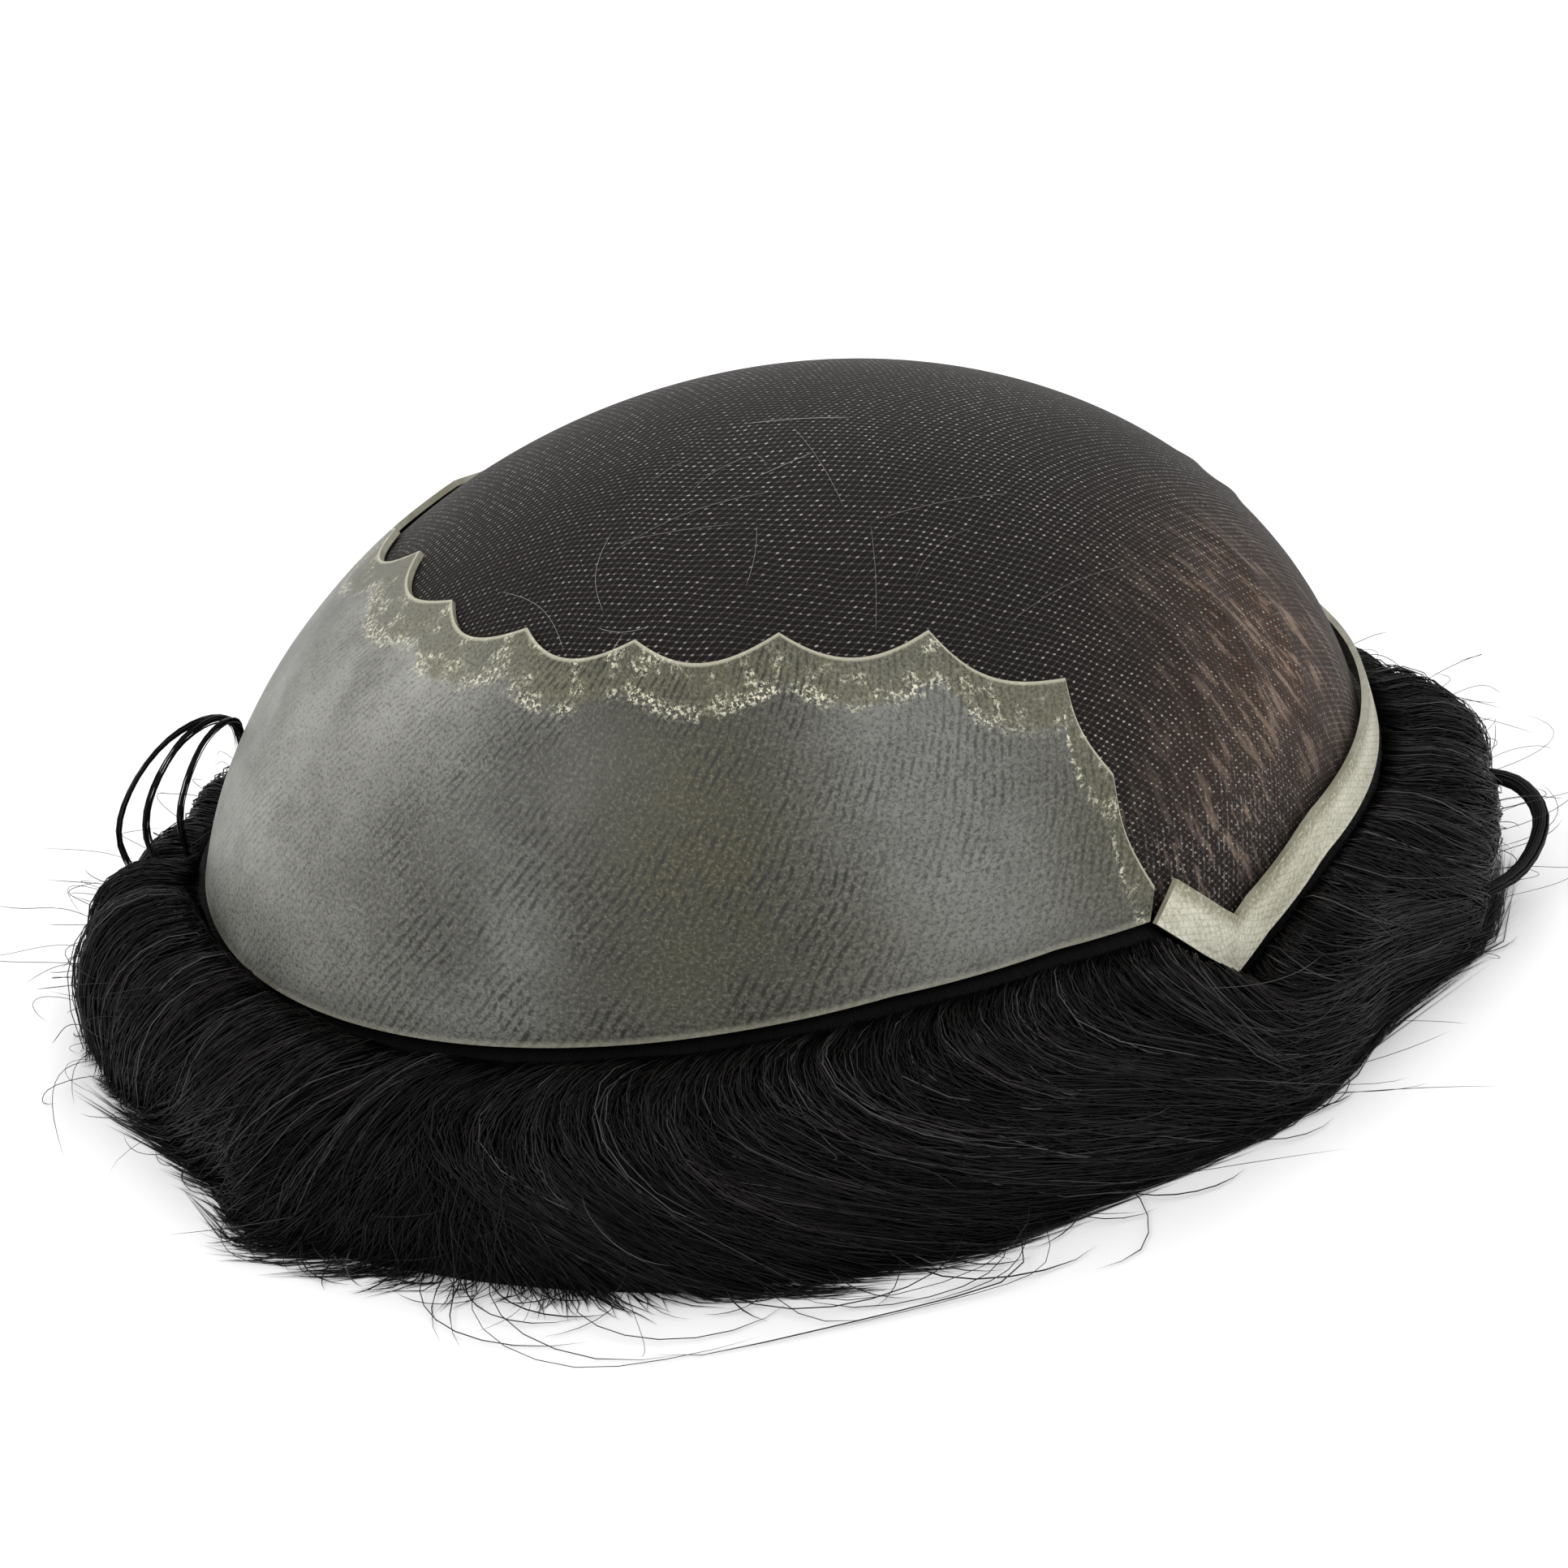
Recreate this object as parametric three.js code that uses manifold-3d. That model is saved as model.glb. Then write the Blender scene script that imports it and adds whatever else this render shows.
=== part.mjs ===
// A toupee hairpiece turned inside out and laid on its hair, in millimetres, with +Z up.
// The front hairline points to +X. The base is a shallow cap whose scalp side faces up: a lace dome,
// a skin panel round its back and sides, and a narrow strip along the hairline. The hair lines the
// hollow of the dome, comes out under the rim all round and spreads on the surface below.
import * as THREE from "three";
import { mergeVertices } from "three/addons/utils/BufferGeometryUtils.js";
import Module from "manifold-3d";

const wasm = await Module();
wasm.setup();

// Head form that the base is shaped on: half lengths of an ellipsoid, and how the base lies on its hair.
const headHalfLength = 95;
const headHalfWidth = 74;
const headHalfHeight = 82;
const restHeight = 32.5;
const frontTilt = 9;

// Walls of the base and the clearance between its layers.
const laceWall = 1.0;
const panelWall = 1.0;
const stripWall = 1.0;
const layerGap = 0.3;

// The skin panel, the front strip and how far the lace edge lies inside of theirs.
const panelWidth = 58;
const scallopDepth = 3.6;
const stripWidth = 7.5;
const laceInset = 3;
const foldHeight = 0.9;
const foldWidth = 7;
const steepGaps = 2;
const seamShare = 0.62;
const seamLean = 1.6;

// The hair: its thickness inside of the dome, its reach beyond the rim, and its locks.
const hairThickness = 14;
const liningGap = 0.45;
const hairReach = 34;
const tuckOut = 1.2;
const rimClearance = 1.6;
const trimClearance = 0.8;
const lockCount = 25;
const lockWidth = 24;
const lockThickness = 9;
const loopThickness = 3.2;
const loopHeight = 16;

// Powers that shape the skirt's outline and the locks on it.
const skirtFullness = 0.9;
const skirtDrop = 0.85;
const sweepPower = 1.8;
const swellPower = 0.8;

// Shares of a lock's width and thickness at its ends, and the slopes that the skirt and a lock start at.
const endWidth = 0.3;
const endThickness = 0.15;
const skirtTop = 0.2;
const lockTop = 0.04;

// How finely the forms are divided.
const frontColumns = 50;
const backColumns = 28;
const laceRings = 11;
const panelRings = 6;
const scallopPieces = 4;
const stripRings = 2;
const stripPieces = 14;
const hairColumns = 40;
const liningRings = 6;
const skirtRings = 5;
const hollowRings = 5;
const roomRings = 12;
const lockPieces = 5;
const loopPieces = 14;
const ovalSides = 6;

// Places on the base are given as a bearing, 0 at the middle of the hairline, 180 at the back and
// negative on the -Y side, and a latitude over the widest ring of the head form, both in degrees.
const rimRows = [
  { bearing: 0, latitude: 5 },
  { bearing: 30, latitude: 5.6 },
  { bearing: 45, latitude: 6.2 },
  { bearing: 56, latitude: 4 },
  { bearing: 61, latitude: 2 },
  { bearing: 64.5, latitude: 6.5 },
  { bearing: 69, latitude: 13 },
  { bearing: 79, latitude: 15 },
  { bearing: 95, latitude: 16.4 },
  { bearing: 180, latitude: 16.8 },
];
const cornerRows = rimRows.slice(4, 7);
const hollowBearing = rimRows[3].bearing;
const seamBearing = rimRows[6].bearing;
const backLatitude = rimRows[9].latitude;

// Points of the panel's scalloped edge, from the seam to the back. Left and right are its height on
// the +Y and the -Y side as shares of the panel's width, foot is the bearing on the rim below it.
const scallopRows = [
  { bearing: 66.5, left: 0.29, right: 0.3, foot: 75 },
  { bearing: 65, left: 0.52, right: 0.57, foot: 86 },
  { bearing: 77, left: 0.7, right: 0.83, foot: 92 },
  { bearing: 98, left: 0.76, right: 0.95, foot: 104 },
  { bearing: 122, left: 0.8, right: 1.02, foot: 123 },
  { bearing: 144, left: 0.92, right: 1.08, foot: 144 },
  { bearing: 167, left: 1.12, right: 1.12, foot: 167 },
];

// Steep folds of the lace behind the hairline: each runs down from its top to its foot.
const foldRows = [
  { top: 12, foot: 40, from: 38, to: 12, height: 0.5 },
  { top: 1, foot: 32, from: 40, to: 12, height: 0.6 },
  { top: -9, foot: 24, from: 41, to: 11, height: 0.5 },
  { top: -20, foot: -38, from: 44, to: 14, height: 0.9 },
  { top: -32, foot: -47, from: 46, to: 15, height: 1.0 },
  { top: -44, foot: -55, from: 44, to: 18, height: 0.7 },
];

// The hair round the rim. Reach is a share of hairReach and of the locks' thickness, crest a share of
// the rim's height there, and sweep the degrees that a lock swings along the rim on its way down.
const hairRows = [
  { bearing: -180, reach: 0.58, crest: 1.2, sweep: 0 },
  { bearing: -165, reach: 0.54, crest: 1.1, sweep: -4 },
  { bearing: -156, reach: 0.6, crest: 1, sweep: -6 },
  { bearing: -149, reach: 0.8, crest: 0.95, sweep: -6 },
  { bearing: -135, reach: 0.76, crest: 0.9, sweep: -2 },
  { bearing: -117, reach: 0.74, crest: 0.9, sweep: 12 },
  { bearing: -95, reach: 0.6, crest: 0.9, sweep: 19 },
  { bearing: -75, reach: 0.42, crest: 0.9, sweep: 22 },
  { bearing: -55, reach: 0.33, crest: 0.9, sweep: 18 },
  { bearing: -40, reach: 0.26, crest: 0.9, sweep: 16 },
  { bearing: -24, reach: 0.54, crest: 0.85, sweep: 9 },
  { bearing: -8, reach: 0.62, crest: 0.8, sweep: 4 },
  { bearing: 4, reach: 0.44, crest: 0.8, sweep: 0 },
  { bearing: 16, reach: 0.3, crest: 0.75, sweep: -4 },
  { bearing: 30, reach: 0.22, crest: 0.6, sweep: -10 },
  { bearing: 80, reach: 0.34, crest: 0.6, sweep: -15 },
  { bearing: 125, reach: 0.36, crest: 0.5, sweep: -8 },
  { bearing: 152, reach: 0.42, crest: 0.5, sweep: 0 },
  { bearing: 168, reach: 0.5, crest: 0.85, sweep: 0 },
  { bearing: 180, reach: 0.58, crest: 1.2, sweep: 0 },
];

// Locks differ in turn by these shares of their length, width and thickness.
const lockRows = [
  { length: 1.0, width: 1.0, thickness: 1.0 },
  { length: 1.1, width: 0.8, thickness: 0.85 },
  { length: 0.95, width: 1.1, thickness: 1.1 },
  { length: 1.06, width: 0.7, thickness: 0.75 },
  { length: 1.02, width: 0.95, thickness: 1.0 },
];

// The thick loop that springs from the front hair: out is a share of the hair's reach at the bearing.
const loopRows = [
  { bearing: -1, out: 0.2, height: 0.5 },
  { bearing: -4, out: 0.5, height: 0.85 },
  { bearing: -8, out: 0.82, height: 1.0 },
  { bearing: -14, out: 1.05, height: 0.9 },
  { bearing: -20, out: 0.9, height: 0.65 },
  { bearing: -25, out: 0.42, height: 0.45 },
];

const toRadians = THREE.MathUtils.degToRad;

// Value of a named column at a bearing, eased between the rows on either side.
function between(rows, column, bearing, ease = (share) => share) {
  const last = rows.length - 1;
  if (bearing <= rows[0].bearing) return rows[0][column];
  if (bearing >= rows[last].bearing) return rows[last][column];
  const next = rows.findIndex((row) => row.bearing > bearing);
  const a = rows[next - 1];
  const b = rows[next];
  const share = ease((bearing - a.bearing) / (b.bearing - a.bearing));
  return THREE.MathUtils.lerp(a[column], b[column], share);
}

const smooth = (share) => share * share * (3 - 2 * share);
const wrapped = (bearing) => THREE.MathUtils.euclideanModulo(bearing + 180, 360) - 180;
const rimLatitude = (bearing) => between(rimRows, "latitude", Math.abs(wrapped(bearing)));
const hairAt = (column, bearing) => between(hairRows, column, wrapped(bearing), smooth);

// Speeds over the head form, in mm for each degree of latitude and of bearing.
function northSpeed(bearing, latitude) {
  const sine = Math.sin(toRadians(latitude));
  const girth = Math.hypot(
    headHalfLength * Math.cos(toRadians(bearing)),
    headHalfWidth * Math.sin(toRadians(bearing)),
  );
  return toRadians(Math.hypot(girth * sine, headHalfHeight * Math.cos(toRadians(latitude))));
}
function eastSpeed(bearing, latitude) {
  const girth = Math.hypot(
    headHalfLength * Math.sin(toRadians(bearing)),
    headHalfWidth * Math.cos(toRadians(bearing)),
  );
  return toRadians(girth * Math.cos(toRadians(latitude)));
}

// Latitude reached by climbing a distance over the head form from a given latitude.
function climb(bearing, latitude, distance) {
  const steps = 8;
  let reached = latitude;
  for (let i = 0; i < steps; i++) reached += distance / steps / northSpeed(bearing, reached);
  return reached;
}

// Rest pose: the base is tilted with its front up and lifted to its height on the hair.
const tilt = new THREE.Matrix4().makeRotationY(toRadians(-frontTilt));
const rimRise = headHalfHeight * Math.sin(toRadians(backLatitude)) * Math.cos(toRadians(frontTilt));
const pose = new THREE.Matrix4().makeTranslation(0, 0, restHeight - rimRise).multiply(tilt);

// Point of the base at a bearing and latitude, a depth below the outer skin of the head form.
function onHead(bearing, latitude, depth) {
  const ring = Math.cos(toRadians(latitude));
  const unit = new THREE.Vector3(
    ring * Math.cos(toRadians(bearing)),
    ring * Math.sin(toRadians(bearing)),
    Math.sin(toRadians(latitude)),
  );
  const half = new THREE.Vector3(headHalfLength, headHalfWidth, headHalfHeight);
  const normal = unit.clone().divide(half).normalize();
  return unit.multiply(half).addScaledVector(normal, -depth).applyMatrix4(pose);
}

// Closed geometry from a grid of points: each row is a closed loop, and the ends are closed by a fan
// to the middle of the loop.
function loopedGeometry(loops) {
  const around = loops[0].length;
  const points = loops.flat();
  const faces = [];
  for (let i = 0; i + 1 < loops.length; i++)
    for (let j = 0; j < around; j++) {
      const a = i * around + j;
      const b = i * around + ((j + 1) % around);
      faces.push(a, b, b + around, a, b + around, a + around);
    }
  for (const end of [0, loops.length - 1]) {
    const centre = points.length;
    const middle = new THREE.Vector3();
    for (const point of loops[end]) middle.addScaledVector(point, 1 / around);
    points.push(middle);
    for (let j = 0; j < around; j++) {
      const a = end * around + j;
      const b = end * around + ((j + 1) % around);
      faces.push(...(end === 0 ? [centre, b, a] : [centre, a, b]));
    }
  }
  return geometryOf(points, faces);
}

// Closed geometry turned about the crown: a profile of points for each bearing, whose first and last
// points are shared by all profiles.
function turnedGeometry(bearings, profile) {
  const lines = bearings.map(profile);
  const inner = lines[0].length - 2;
  const points = lines.flatMap((line) => line.slice(1, -1));
  const top = points.push(lines[0][0]) - 1;
  const bottom = points.push(lines[0].at(-1)) - 1;
  const faces = [];
  lines.forEach((_, i) => {
    const a = i * inner;
    const b = ((i + 1) % lines.length) * inner;
    faces.push(top, a, b, bottom, b + inner - 1, a + inner - 1);
    for (let j = 0; j + 1 < inner; j++)
      faces.push(a + j, a + j + 1, b + j + 1, a + j, b + j + 1, b + j);
  });
  return geometryOf(points, faces);
}

function geometryOf(points, faces) {
  const geometry = new THREE.BufferGeometry().setFromPoints(points);
  geometry.setIndex(faces);
  return geometry;
}

// Solid of a closed geometry, turned right side out where its loops ran the other way round.
function solidOf(geometry) {
  const bare = geometry.clone();
  bare.deleteAttribute("normal");
  bare.deleteAttribute("uv");
  const merged = mergeVertices(bare, 1e-4);
  const triVerts = new Uint32Array(merged.index.array);
  const vertProperties = new Float32Array(merged.attributes.position.array);
  const solid = new wasm.Manifold(new wasm.Mesh({ numProp: 3, vertProperties, triVerts }));
  if (solid.volume() >= 0) return solid;
  triVerts.reverse();
  return new wasm.Manifold(new wasm.Mesh({ numProp: 3, vertProperties, triVerts }));
}

function meshOf(name, solid, material) {
  const made = solid.getMesh();
  const geometry = new THREE.BufferGeometry();
  geometry.setAttribute("position", new THREE.BufferAttribute(made.vertProperties, 3));
  geometry.setIndex(new THREE.BufferAttribute(made.triVerts, 1));
  geometry.computeVertexNormals();
  const mesh = new THREE.Mesh(geometry, material);
  mesh.name = name;
  return mesh;
}

const steps = (from, to, count) =>
  Array.from({ length: count + 1 }, (_, i) => THREE.MathUtils.lerp(from, to, i / count));

// The lace cap: a thin dome that runs under the panel and the strip, with steep folds at the front.
function foldLift(bearing, latitude) {
  let lift = 0;
  for (const fold of foldRows) {
    if (latitude > fold.from || latitude < fold.to) continue;
    const down = (fold.from - latitude) / (fold.from - fold.to);
    const line = THREE.MathUtils.lerp(fold.top, fold.foot, down);
    const away = (bearing - line) * eastSpeed(bearing, latitude);
    const ridge = Math.max(0, 1 - Math.abs(away) / (foldWidth / 2));
    lift += foldHeight * fold.height * smooth(ridge) * Math.sin(Math.PI * down);
  }
  return lift;
}

const laceDepth = Math.max(panelWall, stripWall) + layerGap;
const laceBearings = [
  ...steps(-90, 90, frontColumns).slice(0, -1),
  ...steps(90, 270, backColumns).slice(0, -1),
];

function laceProfile(bearing) {
  const edge = climb(bearing, rimLatitude(bearing), laceInset);
  const latitudes = steps(edge, 90, laceRings).reverse();
  const outer = latitudes.map((latitude) =>
    onHead(bearing, latitude, laceDepth - foldLift(wrapped(bearing), latitude)),
  );
  const inner = latitudes.map((latitude) =>
    onHead(bearing, latitude, laceDepth + laceWall - foldLift(wrapped(bearing), latitude)),
  );
  return [...outer, ...inner.reverse()];
}
const laceCap = solidOf(turnedGeometry(laceBearings, laceProfile));

// The skin panel: columns run from the rim up to the scalloped edge.
function scallopPoints() {
  const seamTop = climb(seamBearing, rimLatitude(seamBearing), stripWidth * seamShare);
  const seam = { bearing: seamBearing - seamLean, latitude: seamTop, foot: seamBearing };
  const side = (column) => [
    seam,
    ...scallopRows.map((row) => ({
      bearing: row.bearing,
      latitude: climb(row.bearing, backLatitude, row[column] * panelWidth),
      foot: row.foot,
    })),
  ];
  const mirrored = side("right").map((row) => ({
    bearing: 360 - row.bearing,
    latitude: row.latitude,
    foot: 360 - row.foot,
  }));
  return [...side("left"), ...mirrored.reverse()];
}

// Between two peaks the edge dips by the scallop's depth, away from the line that joins them, and by
// half of it where the edge runs steeply beside the seam.
function scallopColumns() {
  const peaks = scallopPoints();
  const columns = [];
  for (let i = 0; i + 1 < peaks.length; i++) {
    const a = peaks[i];
    const b = peaks[i + 1];
    const fromSeam = Math.min(i, peaks.length - 2 - i);
    const depth = fromSeam < steepGaps ? scallopDepth / 2 : scallopDepth;
    const east = (b.bearing - a.bearing) * eastSpeed(a.bearing, a.latitude);
    const north = (b.latitude - a.latitude) * northSpeed(a.bearing, a.latitude);
    const span = Math.hypot(east, north);
    for (let k = 0; k < scallopPieces; k++) {
      const share = k / scallopPieces;
      const dip = depth * Math.sin(Math.PI * share);
      const bearing = THREE.MathUtils.lerp(a.bearing, b.bearing, share);
      const latitude = THREE.MathUtils.lerp(a.latitude, b.latitude, share);
      columns.push({
        bearing: bearing + (dip * north) / span / eastSpeed(bearing, latitude),
        latitude: latitude - (dip * east) / span / northSpeed(bearing, latitude),
        foot: THREE.MathUtils.lerp(a.foot, b.foot, share),
      });
    }
  }
  columns.push(peaks.at(-1));
  return columns;
}

// Closed loop round a wall: along its outer side and back along its inner side.
function wallLoop(places, wall) {
  const outer = places.map((place) => onHead(place.bearing, place.latitude, 0));
  const inner = places.map((place) => onHead(place.bearing, place.latitude, wall));
  return [...outer, ...inner.reverse()];
}

function panelLoop(column) {
  const foot = { bearing: column.foot, latitude: rimLatitude(column.foot) };
  const places = steps(0, 1, panelRings).map((share) => ({
    bearing: THREE.MathUtils.lerp(foot.bearing, column.bearing, share),
    latitude: THREE.MathUtils.lerp(foot.latitude, column.latitude, share),
  }));
  return wallLoop(places, panelWall);
}
const skinPanel = solidOf(loopedGeometry(scallopColumns().map(panelLoop)));

// The front strip: a ribbon along the hairline, with a pointed corner at each temple.
function stripBearings() {
  const seamGap = layerGap / eastSpeed(seamBearing, rimLatitude(seamBearing));
  const end = seamBearing - seamGap;
  const corner = cornerRows.slice(0, 2).map((row) => row.bearing);
  const side = [end, ...corner.reverse(), ...steps(hollowBearing, 0, stripPieces).slice(0, -1)];
  return [...side, 0, ...side.map((bearing) => -bearing).reverse()];
}

// Inner edge of the ribbon: the outer edge moved by its width, with a mitre where it turns.
function stripPlaces(bearings) {
  const outer = bearings.map((bearing) => ({ bearing, latitude: rimLatitude(bearing) }));
  return outer.map((place, i) => {
    const before = heading(outer[Math.max(i - 1, 0)], outer[Math.max(i, 1)]);
    const after = heading(outer[Math.min(i, outer.length - 2)], outer[Math.min(i + 1, outer.length - 1)]);
    const middle = before.clone().add(after).normalize();
    const mitre = stripWidth / Math.max(0.5, middle.dot(before));
    const inward = new THREE.Vector2(middle.y, -middle.x).multiplyScalar(mitre);
    const inner = {
      bearing: place.bearing + inward.x / eastSpeed(place.bearing, place.latitude),
      latitude: place.latitude + inward.y / northSpeed(place.bearing, place.latitude),
    };
    return { outer: place, inner };
  });
}

// Direction from one place to the next as east and north distances, of unit length.
function heading(from, to) {
  return new THREE.Vector2(
    (to.bearing - from.bearing) * eastSpeed(from.bearing, from.latitude),
    (to.latitude - from.latitude) * northSpeed(from.bearing, from.latitude),
  ).normalize();
}

function stripLoop({ outer, inner }) {
  const places = steps(0, 1, stripRings).map((share) => ({
    bearing: THREE.MathUtils.lerp(outer.bearing, inner.bearing, share),
    latitude: THREE.MathUtils.lerp(outer.latitude, inner.latitude, share),
  }));
  return wallLoop(places, stripWall);
}
const frontStrip = solidOf(loopedGeometry(stripPlaces(stripBearings()).map(stripLoop)));

// The hair's lining of the dome and its skirt round the rim, as one closed profile for each bearing.
const hairDepth = laceDepth + laceWall + liningGap;

// Level outward direction at the rim.
function outward(bearing) {
  const latitude = rimLatitude(bearing);
  const direction = onHead(bearing, latitude, 0).sub(onHead(bearing, latitude, 1));
  return direction.setZ(0).normalize();
}

// Point a distance beyond the rim and at a height over the surface below.
function beyondRim(bearing, out, height) {
  const point = onHead(bearing, rimLatitude(bearing), 0).addScaledVector(outward(bearing), out);
  return point.setZ(height);
}

// Point of the skirt: slope 0 is its crest beside the rim, slope 1 its outer edge on the surface.
function onSkirt(bearing, slope) {
  const rimHeight = onHead(bearing, rimLatitude(bearing), 0).z;
  const reach = hairReach * hairAt("reach", bearing);
  const crest = rimHeight * hairAt("crest", bearing);
  const turn = (Math.min(slope, 1) * Math.PI) / 2;
  const beyond = Math.max(slope - 1, 0);
  const out = reach * (Math.pow(Math.sin(turn), skirtFullness) + beyond);
  return beyondRim(bearing, out, crest * Math.pow(Math.cos(turn), skirtDrop));
}

// Columns of the hair: even ones, and one at each corner of the rim.
const hairBearings = [...steps(-180, 180, hairColumns).slice(0, -1), ...cornerBearings()].sort(
  (a, b) => a - b,
);

function cornerBearings() {
  const corners = cornerRows.map((row) => row.bearing);
  return [...corners, ...corners.map((bearing) => -bearing)];
}

function hairProfile(bearing) {
  const edge = rimLatitude(bearing);
  const under = onHead(bearing, edge, hairDepth);
  const tuck = onHead(bearing, edge, 0).z - rimClearance;
  const outer = steps(90, edge, liningRings).map((latitude) => onHead(bearing, latitude, hairDepth));
  const skirt = steps(skirtTop, 1, skirtRings).map((slope) => onSkirt(bearing, slope));
  const deep = hairDepth + hairThickness;
  const inner = steps(edge, 90, hollowRings).map((latitude) => onHead(bearing, latitude, deep));
  const foot = inner[0].clone().setZ(0);
  const knee = inner[0].clone().setZ(inner[0].z / 2);
  return [
    ...outer,
    under.clone().setZ(Math.min(under.z, tuck)),
    beyondRim(bearing, tuckOut, tuck),
    ...skirt,
    foot,
    knee,
    ...inner,
  ];
}
const hairBacking = solidOf(turnedGeometry(hairBearings, hairProfile));

// A lock: a tapered strip with an oval section that follows the skirt down and swings along the rim.
// It starts and ends thin, so that its root and tip run into the backing.
function lockLoops(bearing, row) {
  const sweep = hairAt("sweep", bearing);
  const fullThickness = lockThickness * row.thickness * hairAt("reach", bearing);
  const path = steps(lockTop, row.length, lockPieces).map((slope) => {
    const swing = bearing + sweep * Math.pow(slope, sweepPower);
    return { point: onSkirt(swing, slope), bearing: swing };
  });
  const last = path.length - 1;
  return path.map(({ point, bearing: here }, i) => {
    const next = path[Math.min(i + 1, last)].point;
    const along = next.clone().sub(path[Math.max(i - 1, 0)].point).normalize();
    const across = outward(here).cross(new THREE.Vector3(0, 0, 1));
    const side = across.addScaledVector(along, -across.dot(along)).normalize();
    const up = side.clone().cross(along);
    const swell = Math.sin(Math.PI * Math.pow(i / last, swellPower));
    const wide = THREE.MathUtils.lerp(endWidth, 1, swell) * lockWidth * row.width;
    const thick = THREE.MathUtils.lerp(endThickness, 1, swell) * fullThickness;
    return ovalLoop(point, side, up, wide / 2, thick / 2);
  });
}

function ovalLoop(point, side, up, halfWidth, halfThickness) {
  return steps(0, 2 * Math.PI, ovalSides)
    .slice(0, -1)
    .map((angle) =>
      point
        .clone()
        .addScaledVector(side, halfWidth * Math.cos(angle))
        .addScaledVector(up, halfThickness * Math.sin(angle)),
    );
}

// The thick loop of hair at the front, as a round tapered cord on a smooth curve.
function loopLock() {
  const places = loopRows.map((row) =>
    beyondRim(row.bearing, row.out * hairReach, row.height * loopHeight),
  );
  const curve = new THREE.CatmullRomCurve3(places);
  const frames = curve.computeFrenetFrames(loopPieces, false);
  const half = loopThickness / 2;
  const loops = steps(0, 1, loopPieces).map((share, i) =>
    ovalLoop(curve.getPointAt(share), frames.normals[i], frames.binormals[i], half, half),
  );
  return loopedGeometry(loops);
}

// Room that the base takes up, with a clearance outside of it: locks are trimmed back to it.
function baseRoom() {
  const middle = onHead(0, 0, headHalfLength);
  const profile = (bearing) => {
    const edge = rimLatitude(bearing);
    const outer = steps(90, edge, roomRings).map((latitude) => onHead(bearing, latitude, -trimClearance));
    const below = outer.at(-1).clone().setZ(outer.at(-1).z - trimClearance);
    return [...outer, below, middle];
  };
  return solidOf(turnedGeometry(hairBearings, profile));
}

function hairSolid() {
  const room = baseRoom();
  let locks = solidOf(loopLock());
  for (let i = 0; i < lockCount; i++) {
    const bearing = -180 + (360 * i) / lockCount;
    const row = lockRows[i % lockRows.length];
    locks = locks.add(solidOf(loopedGeometry(lockLoops(bearing, row))));
  }
  const deep = 2 * lockThickness;
  const reach = 2 * (headHalfLength + 2 * hairReach);
  const ground = new THREE.BoxGeometry(reach, reach, deep).translate(0, 0, -deep / 2);
  return hairBacking.add(locks.subtract(room)).subtract(solidOf(ground));
}

// The hair is parted into four growths by two narrow upright cuts that cross at the crown. Of what
// each quarter holds, its outer body is kept, so the pockets between overlapping locks are filled.
function partedHair() {
  const reach = 2 * (headHalfLength + 2 * hairReach);
  let parted = hairSolid();
  for (const turn of [Math.PI / 4, -Math.PI / 4]) {
    const cut = new THREE.BoxGeometry(reach, layerGap, reach).rotateZ(turn);
    parted = parted.subtract(solidOf(cut));
  }
  const bodies = parted.decompose().sort((a, b) => b.volume() - a.volume());
  const growths = {};
  for (const body of bodies.slice(0, 4)) growths[growthName(body)] = body;
  return growths;
}

// Name of the side of the head that a quarter of the hair lies on.
function growthName(body) {
  const { min, max } = body.boundingBox();
  const x = min[0] + max[0];
  const y = min[1] + max[1];
  if (Math.abs(x) > Math.abs(y)) return x > 0 ? "hair_front" : "hair_back";
  return y > 0 ? "hair_left" : "hair_right";
}

const lace = new THREE.MeshStandardMaterial({ color: 0x2a2522, roughness: 0.8, metalness: 0 });
const skin = new THREE.MeshStandardMaterial({ color: 0x8a8a80, roughness: 0.35, metalness: 0 });
const cream = new THREE.MeshStandardMaterial({ color: 0xc8c4a4, roughness: 0.45, metalness: 0 });
const hair = new THREE.MeshStandardMaterial({ color: 0x141110, roughness: 0.45, metalness: 0 });

const toupee = new THREE.Group();
toupee.add(
  meshOf("lace_cap", laceCap, lace),
  meshOf("skin_panel", skinPanel, skin),
  meshOf("front_strip", frontStrip, cream),
  ...Object.entries(partedHair()).map(([name, solid]) => meshOf(name, solid, hair)),
);

// The origin is the middle of the whole piece, on the surface that it lies on.
const box = new THREE.Box3().setFromObject(toupee);
const centre = box.getCenter(new THREE.Vector3());
toupee.position.set(-centre.x, -centre.y, 0);

export default toupee;
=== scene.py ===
"""Dresses a toupee hairpiece that lies on its hair, scalp side up.

The base is a dome of dark net, a wide translucent film panel with a scalloped edge round its back and
sides, and a cream strip along the front hairline. Black hair comes out under the rim all round. Every
length is in metres. A place on the base is a bearing, 0 at the middle of the hairline and negative on
the -Y side, and a latitude over the widest ring of the head form, both in degrees.
"""

import logging
import math
from collections.abc import Sequence
from dataclasses import dataclass
from enum import Enum
from typing import Any

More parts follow.
